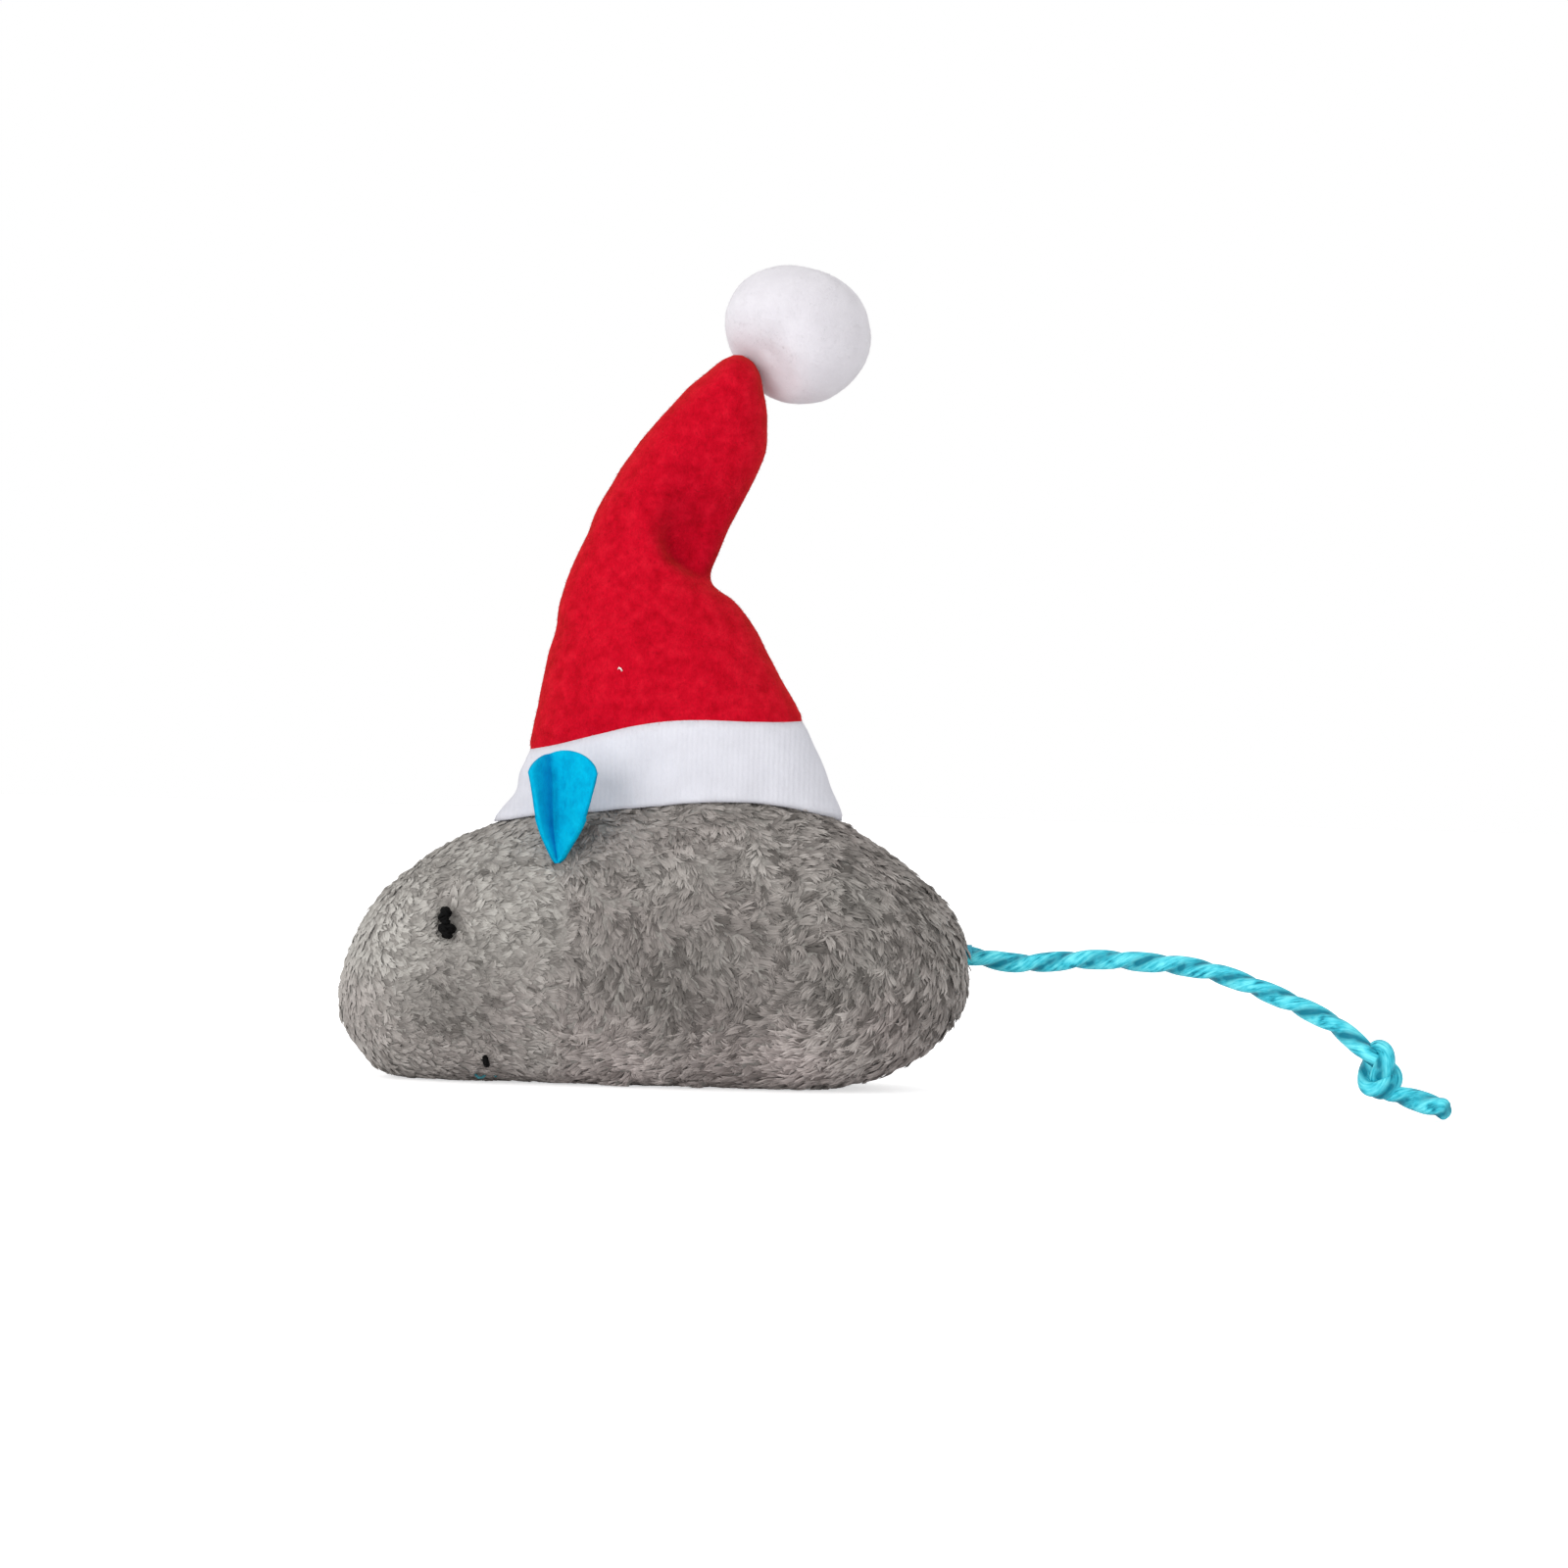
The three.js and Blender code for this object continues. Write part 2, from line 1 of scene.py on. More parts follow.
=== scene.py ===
"""Dresses the plush mouse toy: fur, felt hat with a fleece brim and pompom, ears, thread eyes and cord tail.

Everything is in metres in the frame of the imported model: +Z up, nose toward -X, standing on Z 0.
"""

import logging
import math
from collections.abc import Callable, Sequence
from dataclasses import dataclass, field
from enum import Enum

import bmesh
import bpy
import numpy as np
from mathutils import Matrix, Vector, noise
from mathutils.bvhtree import BVHTree
from mathutils.kdtree import KDTree


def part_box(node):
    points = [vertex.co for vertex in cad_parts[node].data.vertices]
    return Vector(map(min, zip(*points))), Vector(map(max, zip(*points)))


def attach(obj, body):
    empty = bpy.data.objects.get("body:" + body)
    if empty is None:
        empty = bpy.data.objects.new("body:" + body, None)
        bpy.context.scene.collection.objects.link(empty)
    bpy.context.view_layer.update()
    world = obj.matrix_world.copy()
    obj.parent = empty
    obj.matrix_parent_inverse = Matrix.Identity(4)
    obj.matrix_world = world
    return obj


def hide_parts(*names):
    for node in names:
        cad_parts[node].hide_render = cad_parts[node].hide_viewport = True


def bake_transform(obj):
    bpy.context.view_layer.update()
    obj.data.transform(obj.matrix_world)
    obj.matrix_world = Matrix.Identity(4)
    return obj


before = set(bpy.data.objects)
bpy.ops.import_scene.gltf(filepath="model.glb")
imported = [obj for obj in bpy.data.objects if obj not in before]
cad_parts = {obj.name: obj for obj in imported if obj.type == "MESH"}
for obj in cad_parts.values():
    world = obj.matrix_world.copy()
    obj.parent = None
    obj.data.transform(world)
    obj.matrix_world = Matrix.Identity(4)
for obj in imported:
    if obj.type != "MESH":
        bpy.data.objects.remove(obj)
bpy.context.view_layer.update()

LOG = logging.getLogger("plush_mouse")
MM = 0.001
Shade = tuple[int, int, int]
Colour = tuple[float, float, float, float]
Triple = tuple[float, float, float]
Socket = bpy.types.NodeSocket
Spread = Callable[[np.ndarray], np.ndarray]
Lay = Callable[[np.ndarray, np.ndarray], np.ndarray]


class Side(Enum):
    """The mouse's own sides, with the sign of Y on each."""

    LEFT = -1
    RIGHT = 1

    @property
    def label(self) -> str:
        """Lower-case name for pieces."""
        return self.name.lower()

    def middle(self, kind: str) -> Vector:
        """Middle of the CAD node of a kind on this side."""
        return sum(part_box(f"{kind}_{self.label}"), Vector()) / 2


def linear(shade: Shade) -> Colour:
    """Turns a display colour into the linear one that a shader takes.

    Args:
        shade: red, green and blue from 0 to 255.

    Returns:
        The linear colour, opaque.
    """
    shares = [value / 255 for value in shade]
    return (*(share / 12.92 if share <= 0.04045 else ((share + 0.055) / 1.055) ** 2.4
              for share in shares), 1.0)


def grey(value: float) -> Colour:
    """Linear grey of a value."""
    return (value, value, value, 1.0)


def ease(share: float) -> float:
    """Smooth step from 0 to 1."""
    share = min(max(share, 0.0), 1.0)
    return share * share * (3 - 2 * share)


def fading(values: np.ndarray, middle: float, width: float) -> np.ndarray:
    """Falls smoothly from 1 to 0 about a middle, over a width, or rises where the width is negative."""
    return 1 / (1 + np.exp((values - middle) / width))


def along_values(values: Sequence[float], share: float) -> float:
    """Smooth value at a share of the way along evenly spaced values.

    Args:
        values: the values, evenly spaced.
        share: 0 at the first value, 1 at the last.

    Returns:
        The value there, on a curve through all of them.
    """
    last = len(values) - 1
    place = min(max(share, 0.0), 1.0) * last
    i = min(int(place), last - 1)
    f = place - i
    start, end = values[i], values[i + 1]
    before = values[i - 1] if i > 0 else 2 * start - end
    after = values[i + 2] if i < last - 1 else 2 * end - start
    leave, arrive = (end - before) / 2, (after - start) / 2
    return (start + f * leave + f * f * (3 * (end - start) - 2 * leave - arrive)
            + f ** 3 * (2 * (start - end) + leave + arrive))


class NodeSheet:
    """The node tree of a material or world, with short calls to add and link nodes."""

    def __init__(self, owner: bpy.types.Material | bpy.types.World) -> None:
        """Switches on the nodes of the material or world that owns the tree."""
        owner.use_nodes = True
        self.owner, self.tree = owner, owner.node_tree

    def feed(self, node: bpy.types.Node, inputs: dict) -> bpy.types.Node:
        """Sets input sockets, or links those whose value is an output socket.

        Args:
            node: the node.
            inputs: values or output sockets, by the input's name or number.

        Returns:
            The same node.
        """
        for key, value in inputs.items():
            if isinstance(value, Socket):
                self.tree.links.new(value, node.inputs[key])
            else:
                node.inputs[key].default_value = value
        return node

    def add(self, kind: str, inputs: dict | None = None, **settings: object) -> bpy.types.Node:
        """Adds one node.

        Args:
            kind: its type, without the ShaderNode before it.
            inputs: values or output sockets for its inputs.
            settings: its other properties.

        Returns:
            The node.
        """
        node = self.tree.nodes.new("ShaderNode" + kind)
        for key, value in settings.items():
            setattr(node, key, value)
        return self.feed(node, inputs or {})

    def mix(self, factor: float | Socket, low: Socket, high: Colour | Socket,
            blend: str = "MULTIPLY") -> Socket:
        """Mixes two colours.

        Args:
            factor: how far from the first to the second.
            low: the first colour.
            high: the second colour.
            blend: how they blend.

        Returns:
            The colour output.
        """
        return self.add("Mix", {0: factor, 6: low, 7: high}, data_type="RGBA", blend_type=blend).outputs[2]

    def ramp(self, source: Socket, *stops: tuple[float, Colour]) -> Socket:
        """Turns a value into a colour.

        Args:
            source: the socket that gives the value.
            stops: places from 0 to 1 with their colours.

        Returns:
            The colour output.
        """
        node = self.add("ValToRGB", {"Fac": source})
        elements = node.color_ramp.elements
        elements[0].position, elements[0].color = stops[0]
        elements[1].position, elements[1].color = stops[-1]
        for place, colour in stops[1:-1]:
            elements.new(place).color = colour
        return node.outputs["Color"]

    def speckle(self, size: float, detail: float = 2.0, stretch: Triple = (1, 1, 1)) -> Socket:
        """Noise of a real size on object coordinates.

        Args:
            size: width of its features in metres.
            detail: octaves of finer noise.
            stretch: how much finer it is along each axis.

        Returns:
            The value output.
        """
        spot = self.add("TexCoord").outputs["Object"]
        place = self.add("Mapping", {"Vector": spot, "Scale": stretch}).outputs[0]
        return self.add("TexNoise", {"Vector": place, "Scale": 1 / size, "Detail": detail,
                                     "Roughness": 0.6}).outputs["Fac"]

    def finish(self, colour: Socket, roughness: float, sheen: float, specular: float,
               *bumps: tuple[Socket, float]) -> bpy.types.Material:
        """Sets the shader's colour, constants and normal.

        Args:
            colour: the base colour.
            roughness: the surface's roughness.
            sheen: weight of the cloth sheen.
            specular: level of the specular reflection.
            bumps: height sockets, each with its real depth in metres.

        Returns:
            The finished material.
        """
        normal = {}
        for height, depth in bumps:
            node = self.add("Bump", {"Strength": 1.0, "Distance": depth, "Height": height, **normal})
            normal = {"Normal": node.outputs["Normal"]}
        self.feed(self.tree.nodes["Principled BSDF"], {
            "Base Color": colour, "Roughness": roughness, "Sheen Weight": sheen, "Sheen Roughness": 0.5,
            "Specular IOR Level": specular, **normal})
        return self.owner


@dataclass(frozen=True)
class Finish:
    """What a piece's surface is made of."""

    name: str

    def sheet(self) -> NodeSheet:
        """A new material's node tree."""
        return NodeSheet(bpy.data.materials.new(self.name))

    def material(self) -> bpy.types.Material:
        """Makes the material."""
        raise NotImplementedError


@dataclass(frozen=True)
class StrandFinish(Finish):
    """Tufts or fibres whose shade and hue come from the strand attribute that the nap writes."""

    dark: Shade
    middle: Shade
    light: Shade
    cast: Shade
    root_shade: float
    roughness: float = 0.85

    def material(self) -> bpy.types.Material:
        """Makes the material: the strand's shade, its colour cast, and painted shade that darkens it toward
        its root.
        """
        sheet = self.sheet()
        strand = sheet.add("Attribute", attribute_name=Nap.ATTRIBUTE).outputs["Color"]
        shade, height, cast = sheet.add("SeparateColor", {"Color": strand}).outputs[:3]
        colour = sheet.ramp(shade, (0.0, linear(self.dark)), (0.5, linear(self.middle)),
                            (1.0, linear(self.light)))
        colour = sheet.mix(cast, colour, linear(self.cast))
        # Painted shade: each strand darkens toward its root, where tufts shade each other
        depth = sheet.ramp(height, (0.0, grey(1 - self.root_shade)), (0.75, grey(1.0)))
        return sheet.finish(sheet.mix(1.0, colour, depth), self.roughness, 0.0, 0.08)


@dataclass(frozen=True)
class YarnFinish(Finish):
    """Thread, weave or knitted backing in two shades."""

    dark: Shade
    light: Shade
    specular: float = 0.4
    grain: float = 0.18 * MM
    stretch: Triple = (1, 1, 2.5)
    stops: tuple[float, float] = (0.35, 0.75)
    depth: float = 0.05 * MM
    roughness: float = 0.7
    sheen: float = 0.0

    def material(self) -> bpy.types.Material:
        """Makes the material."""
        sheet = self.sheet()
        twist = sheet.speckle(self.grain, 2.0, self.stretch)
        colour = sheet.ramp(twist, *zip(self.stops, (linear(self.dark), linear(self.light))))
        return sheet.finish(colour, self.roughness, self.sheen, self.specular, (twist, self.depth))


@dataclass(frozen=True)
class FeltFinish(Finish):
    """Brushed felt or fleece: cloudy, with fine felted fibres, with ribs or a soft sheen on some, and painted
    shade where the fold attribute marks a dent or fold.
    """

    deep: Shade
    body: Shade
    lit: Shade
    cloud: float = 3.0 * MM
    fibre: float = 0.25 * MM
    depth: float = 0.12 * MM
    fleck: float = 0.14
    glow: Shade = (255, 255, 255)
    sheen: float = 0.0
    rib: float = 0.0
    soak: float = 0.0

    def material(self) -> bpy.types.Material:
        """Makes the material."""
        sheet = self.sheet()
        clouds, fibres = sheet.speckle(self.cloud, 4.0), sheet.speckle(self.fibre, 3.0, (1, 1, 0.45))
        colour = sheet.ramp(clouds, (0.3, linear(self.deep)), (0.52, linear(self.body)),
                            (0.75, linear(self.lit)))
        fleck = sheet.ramp(fibres, (0.3, grey(1 - self.fleck)), (0.7, grey(1 + self.fleck / 2)))
        colour = sheet.mix(1.0, colour, fleck)
        bumps = [(clouds, 2 * self.depth), (fibres, self.depth)]
        if self.rib:
            place = sheet.add("TexCoord").outputs["Object"]
            ribs = sheet.add("TexWave", {"Vector": place, "Scale": 0.314 / self.rib, "Distortion": 1.2,
                                         "Detail": 1.0}, bands_direction="X").outputs["Fac"]
            bumps.append((ribs, 0.6 * self.depth))
            dips = sheet.ramp(ribs, (0.2, (0.985, 0.985, 0.988, 1)), (0.8, grey(1.0)))
            colour = sheet.mix(1.0, colour, dips)
        # Painted shade: darkens the colour, green most, where the fold attribute marks the hat's dent and the
        # ears' fold valleys
        fold_shades = sheet.add("Attribute", attribute_name=FeltHat.FOLD).outputs["Fac"]
        colour = sheet.mix(fold_shades, colour, (0.76, 0.42, 0.76, 1))
        sheet.feed(sheet.tree.nodes["Principled BSDF"], {
            "Sheen Tint": linear(self.glow), "Subsurface Weight": self.soak, "Subsurface Radius": (1, 1, 1),
            "Subsurface Scale": 4 * MM})
        return sheet.finish(colour, 0.95, self.sheen, 0.04, *bumps)


@dataclass(frozen=True)
class CordFinish(Finish):
    """Twisted cord: fine filaments along the plies and painted shade in the grooves between them."""

    groove: Shade
    body: Shade
    lit: Shade

    def material(self) -> bpy.types.Material:
        """Makes the material: filaments along the lay, patches of lighter and darker tone, and painted shade
        in the grooves where the attribute says, stronger in some patches.
        """
        sheet = self.sheet()
        depth = sheet.add("Attribute", attribute_name=CordTail.GROOVE).outputs["Fac"]
        lay = sheet.add("UVMap", uv_map=CordTail.LAY).outputs["UV"]
        place = sheet.add("Mapping", {"Vector": lay, "Scale": (1.3, 9.0, 1.0)}).outputs[0]
        filaments = sheet.add("TexNoise", {"Vector": place, "Scale": 1.0, "Detail": 4.0,
                                           "Roughness": 0.65}).outputs["Fac"]
        patches = sheet.speckle(2.2 * MM, 1.0)
        both = sheet.add("Math", {0: patches, 1: 0.55, 2: filaments}, operation="MULTIPLY_ADD").outputs[0]
        groove = linear(self.groove)
        base = sheet.ramp(both, (0.56, groove), (0.72, linear(self.body)), (0.95, linear(self.lit)))
        broken = sheet.add("MapRange", {"Value": patches, "From Min": 0.35, "From Max": 0.6, "To Min": 0.35,
                                        "To Max": 1.3}).outputs["Result"]
        # Painted shade: the grooves between the plies take the groove colour, more in some patches than
        # others
        shaded = sheet.add("Math", {0: depth, 1: broken}, operation="MULTIPLY", use_clamp=True).outputs[0]
        return sheet.finish(sheet.mix(shaded, base, groove, "MIX"), 0.4, 0.0, 0.2, (filaments, 0.15 * MM))


# The last number of each strand finish is its painted shade toward the roots
FUR = StrandFinish("grey plush pile", (100, 97, 93), (152, 148, 143), (202, 199, 193), (250, 239, 242), 0.4)
BACKING = YarnFinish("grey plush backing", (122, 118, 114), (150, 146, 141), specular=0.1, grain=0.5 * MM,
                     stretch=(1, 1, 1), stops=(0.3, 0.7), depth=0.1 * MM, roughness=0.95, sheen=0.1)
RED_FELT = FeltFinish("red felt", (170, 2, 25), (190, 8, 34), (204, 20, 42), cloud=2 * MM,
                      glow=(255, 120, 70), sheen=0.2)
RED_NAP = StrandFinish("red felt nap", (168, 2, 25), (192, 10, 34), (214, 34, 48), (245, 235, 240), 0.1)
BRIM_FLEECE = FeltFinish("brim fleece", (203, 203, 210), (207, 207, 214), (212, 212, 219), cloud=5 * MM,
                         depth=0.04 * MM, fleck=0.03, rib=0.8 * MM)
BRIM_NAP = StrandFinish("brim fleece nap", (214, 214, 221), (221, 221, 228), (230, 230, 237),
                        (250, 248, 252), 0.02)
POMPOM_FLEECE = FeltFinish("pompom fleece", (206, 203, 208), (210, 207, 212), (214, 211, 216), cloud=5 * MM,
                           depth=0.04 * MM, fleck=0.02, soak=0.6)
POMPOM_NAP = StrandFinish("pompom fleece nap", (212, 209, 214), (219, 216, 221), (228, 225, 230),
                          (250, 248, 252), 0.02)
BLUE_FELT = FeltFinish("blue felt", (0, 150, 194), (0, 168, 208), (6, 178, 214), cloud=1.6 * MM, fleck=0.08)
BLUE_NAP = StrandFinish("blue felt nap", (0, 148, 192), (0, 168, 208), (24, 190, 226), (240, 240, 255), 0.1)
# The first colour is the painted shade in the cord's grooves, also its darkest tone
TURQUOISE_CORD = CordFinish("turquoise cord", (0, 116, 138), (56, 190, 210), (116, 232, 242))
BLACK_THREAD = YarnFinish("black thread", (1, 1, 1), (10, 9, 9), specular=0.1)
TEAL_THREAD = YarnFinish("teal thread", (30, 90, 100), (70, 140, 150))
MUSLIN = YarnFinish("muslin", (190, 176, 142), (214, 202, 172))
INNER_CORD = YarnFinish("inner cord", (20, 130, 160), (90, 210, 232))
FIBRE = FeltFinish("fibre filling", (215, 212, 205), (232, 229, 222), (244, 242, 236))


def new_object(name: str, mesh: bpy.types.Mesh, finish: Finish | None = None) -> bpy.types.Object:
    """Puts a mesh into the scene as an object at the origin.

    Args:
        name: the piece's name.
        mesh: its mesh.
        finish: the finish that it takes, if any.

    Returns:
        The object.
    """
    piece = bpy.data.objects.new(name, mesh)
    bpy.context.scene.collection.objects.link(piece)
    if finish is not None:
        dress(mesh, finish)
    return piece


def dress(mesh: bpy.types.Mesh, finish: Finish) -> None:
    """Gives a mesh its finish alone."""
    mesh.materials.clear()
    mesh.materials.append(finish.material())


def shaped(name: str, shape: bmesh.types.BMesh, finish: Finish | None = None) -> bpy.types.Object:
    """Turns a finished bmesh into a smooth piece and frees it.

    Args:
        name: the piece's name.
        shape: the bmesh.
        finish: its finish, if any.

    Returns:
        The piece.
    """
    for face in shape.faces:
        face.smooth = True
    mesh = bpy.data.meshes.new(name)
    shape.to_mesh(mesh)
    shape.free()
    return new_object(name, mesh, finish)


def bridged(name: str, rows: Sequence[Sequence[Vector]], finish: Finish,
            ring: bool = False) -> bpy.types.Object:
    """Bridges loops of places into a closed tube.

    Args:
        name: the piece's name.
        rows: its loops in order, each with as many places.
        finish: its finish.
        ring: whether the last loop joins the first. Otherwise both ends are capped.

    Returns:
        The piece.
    """
    shape = bmesh.new()
    loops = []
    for i, row in enumerate(rows):
        made = bmesh.ops.create_circle(shape, segments=len(row), radius=1.0,
                                       cap_ends=not ring and i in (0, len(rows) - 1))
        for vertex, place in zip(made["verts"], row):
            vertex.co = place
        loops.append({edge for vertex in made["verts"] for edge in vertex.link_edges})
    for low, high in zip(loops, loops[1:] + (loops[:1] if ring else [])):
        bmesh.ops.bridge_loops(shape, edges=list(low | high))
    bmesh.ops.recalc_face_normals(shape, faces=shape.faces[:])
    return shaped(name, shape, finish)


def seat(piece: bpy.types.Object, body: str, slot: str, *nodes: str,
         over: tuple[str, Triple, Triple] | None = None) -> bpy.types.Object:
    """Lets a piece ride on a body and hides the nodes that it stands for; a piece given a second body is not
    attached but has its transform baked into its mesh.

    Args:
        piece: the piece.
        body: the body's name.
        slot: not used.
        nodes: the CAD nodes that it replaces.
        over: a second body and where a bend over to it would start and end; no bend is made.

    Returns:
        The same piece.
    """
    if over:
        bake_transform(piece)
    else:
        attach(piece, body)
    if nodes:
        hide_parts(*nodes)
    LOG.info("%s: %d faces on %s", piece.name, len(piece.data.polygons), body)
    return piece


def tree_of(piece: bpy.types.Object) -> BVHTree:
    """Search tree of a piece's surface."""
    return BVHTree.FromObject(piece, bpy.context.evaluated_depsgraph_get())


def values_of(rows: bpy.types.bpy_prop_collection, key: str, kind: type = float) -> np.ndarray:
    """Reads a vector of three from each item of a collection.

    Args:
        rows: the collection.
        key: the property's name.
        kind: the type of its numbers.

    Returns:
        One row for each item.
    """
    values = np.empty(len(rows) * 3, kind)
    rows.foreach_get(key, values)
    return values.reshape(-1, 3)


def unit(ways: np.ndarray, least: float = 0.0) -> np.ndarray:
    """Gives directions a length of one, with a least length against division by zero."""
    return ways / (np.linalg.norm(ways, axis=-1, keepdims=True) + least)


def flattened(ways: np.ndarray, normals: np.ndarray) -> np.ndarray:
    """Unit directions along a surface, without their part along its normals."""
    return unit(ways - normals * (ways * normals).sum(axis=1, keepdims=True), 1e-9)


def turned(ways: np.ndarray, normals: np.ndarray, degrees: np.ndarray) -> np.ndarray:
    """Turns unit directions along a surface by degrees about its normals."""
    turn = np.radians(degrees)[:, None]
    return ways * np.cos(turn) + np.cross(normals, ways) * np.sin(turn)


def cloudy(places: np.ndarray, size: float, seed: float = 0.0) -> np.ndarray:
    """Soft noise from -1 to 1 at many places.

    Args:
        places: the places.
        size: width of its clouds.
        seed: shifts the pattern.

    Returns:
        One value for each place.
    """
    shift = Vector((seed, 2 * seed, -seed))
    return np.array([noise.noise(Vector(place) / size + shift) for place in places])


@dataclass
class Ground:
    """The triangles of a surface that a nap grows from, with the smooth normals at their corners."""

    corners: np.ndarray
    normals: np.ndarray

    @classmethod
    def of(cls, piece: bpy.types.Object) -> "Ground":
        """Reads the surface of a piece."""
        mesh = piece.data
        mesh.calc_loop_triangles()
        picks = values_of(mesh.loop_triangles, "vertices", np.int64)
        return cls(values_of(mesh.vertices, "co")[picks], values_of(mesh.vertex_normals, "vector")[picks])

    def scatter(self, per_mm2: float, draw: np.random.Generator) -> tuple[np.ndarray, np.ndarray]:
        """Draws places evenly over the ground.

        Args:
            per_mm2: how many to a square millimetre.
            draw: the random source.

        Returns:
            The places and their normals.
        """
        sides = self.corners[:, 1:] - self.corners[:, :1]
        areas = np.linalg.norm(np.cross(sides[:, 0], sides[:, 1]), axis=1) / 2
        count = int(areas.sum() / MM ** 2 * per_mm2)
        picks = draw.choice(len(areas), size=count, p=areas / areas.sum())
        first, second = draw.random((2, count, 1))
        over = first + second > 1
        first, second = np.where(over, 1 - first, first), np.where(over, 1 - second, second)
        weights = np.stack([1 - first - second, first, second], axis=1)
        places, normals = ((rows[picks] * weights).sum(axis=1) for rows in (self.corners, self.normals))
        return places, unit(normals)


@dataclass
class Nap:
    """Tufts or fibres that stand on a surface, each a closed blade of real geometry.

    Blades of one lock lie the same way and draw together toward its tip.
    """

    ATTRIBUTE = "strand"
    UV_MAP = "OFBake"

    per_mm2: float
    length: float
    width: float
    rise: float
    droop: float
    spread: float
    seed: int
    thin: float = 0.6
    stray: float = 0.0
    locks_per_mm2: float = 0.0
    gather: float = 0.0
    uneven: float = 0.25
    mottle: float = 0.25
    own_mottle: float = 0.5
    sunk: float = 0.15 * MM
    curl: float = 0.0
    soften: float = 0.0
    bends: tuple[float, ...] = ()

    def blade(self) -> tuple[np.ndarray, np.ndarray, np.ndarray]:
        """Shapes one blade of unit length from a three-sided cone with a ring at each bend.

        Returns:
            Its corners (across, through, up), its triangles, and their places on the bake map.
        """
        shape = bmesh.new()
        bmesh.ops.create_cone(shape, cap_ends=True, segments=3, radius1=0.5, radius2=0.0, depth=1.0,
                              matrix=Matrix.Translation((0, 0, 0.5)))
        for bend in self.bends:
            bmesh.ops.bisect_plane(shape, geom=shape.verts[:] + shape.edges[:] + shape.faces[:],
                                   plane_co=(0, 0, bend), plane_no=(0, 0, 1))
            swell = 1.15 * (1 - 0.6 * bend * bend) / (1 - bend)
            ring = [vertex for vertex in shape.verts if abs(vertex.co.z - bend) < 1e-5]
            bmesh.ops.scale(shape, vec=(swell, swell, 1.0), verts=ring)
        bmesh.ops.remove_doubles(shape, verts=shape.verts[:], dist=1e-5)
        bmesh.ops.triangulate(shape, faces=shape.faces[:])
        bmesh.ops.recalc_face_normals(shape, faces=shape.faces[:])
        shape.verts.index_update()
        corners = np.array([vertex.co for vertex in shape.verts])
        triangles = np.array([[vertex.index for vertex in face.verts] for face in shape.faces])
        shape.free()
        around = np.arctan2(corners[:, 1], corners[:, 0]) / (2 * math.pi) + 0.5
        return corners, triangles, 0.1 + 0.8 * np.stack([around, corners[:, 2]], axis=1)[triangles]

    def locks(self, ground: Ground, places: np.ndarray, normals: np.ndarray,
              draw: np.random.Generator) -> tuple[np.ndarray, np.ndarray, np.ndarray]:
        """Gathers blades into locks.

        Args:
            ground: the surface.
            places: roots of the blades.
            normals: the surface's normals there.
            draw: the random source.

        Returns:
            The locks' places, their normals, and the lock of each blade.
        """
        if not self.locks_per_mm2:
            return places, normals, np.arange(len(places))
        centres, ups = ground.scatter(self.locks_per_mm2, draw)
        tree = KDTree(len(centres))
        for i, centre in enumerate(centres):
            tree.insert(centre, i)
        tree.balance()
        return centres, ups, np.array([tree.find(place)[1] for place in places])

    def grow(self, ground: Ground, lay: Lay, keep: Lay | None = None, hue: Spread | None = None,
             reach: Spread | None = None, floor: float | None = None) -> "Strands":
        """Draws the roots and bends a blade over each.

        Args:
            ground: the surface.
            lay: direction that the locks lie in, from their places and normals.
            keep: which places get a blade, from their places and normals.
            hue: share of the colour cast at each place.
            reach: factor on the length at each place.
            floor: height below which nothing reaches.

        Returns:
            The strands, ready to become pieces.
        """
        draw = np.random.default_rng(self.seed)
        places, normals = ground.scatter(self.per_mm2, draw)
        if keep is not None:
            kept = keep(places, normals)
            places, normals = places[kept], normals[kept]
        count = len(places)
        centres, ups, lock = self.locks(ground, places, normals, draw)
        each = draw.normal(0, 1, (5, len(centres))).clip(-2, 2)[:, lock]
        own = draw.normal(0, 1, (4, count)).clip(-2, 2)
        along = flattened(flattened(lay(centres, ups), ups)[lock], normals)
        along = turned(along, normals, self.spread * each[0] + self.stray * own[0])
        across = np.cross(normals, along)
        lengths = self.length * (1 + self.uneven * (0.8 * each[1] + 0.5 * own[1]))
        if reach is not None:
            lengths = lengths * reach(places)
        widths = (self.width * (1 + 0.2 * own[2]))[:, None]
        corners, triangles, spots = self.blade()
        heights = np.unique(corners[:, 2].round(4))
        rises = np.radians(self.rise + 8 * each[2])
        pull = (centres[lock] - places) * self.gather
        spine = [places - normals * self.sunk]
        for low, high in zip(heights, heights[1:]):
            middle = (low + high) / 2
            angle = (rises + (math.radians(self.droop) - rises) * middle)[:, None]
            way = turned(along, normals, self.curl * (each[4] + 0.2 * own[3]) * (middle - 0.3))
            step = (high - low) * lengths[:, None]
            spine.append(spine[-1] + step * (way * np.cos(angle) + normals * np.sin(angle))
                         + (high - low) * pull)
        points = np.empty((count, len(corners), 3))
        for i, (over, through, up) in enumerate(corners):
            middle = spine[int(np.argmin(np.abs(heights - up)))]
            points[:, i] = middle + across * (over * widths) + normals * (through * widths * self.thin)
        if floor is not None:
            points[:, :, 2] = points[:, :, 2].clip(floor, None)
        deep = np.where(each[3] < 0, 1.3, 0.4) * each[3] + 0.36
        shade = (0.5 + self.mottle * (deep + self.own_mottle * own[3])).clip(0, 1)
        cast = hue(places) if hue is not None else np.zeros(count)
        LOG.info("%d strands in %d locks", count, len(centres))
        return Strands(points, triangles, spots, corners[:, 2], shade, cast, normals * self.soften)


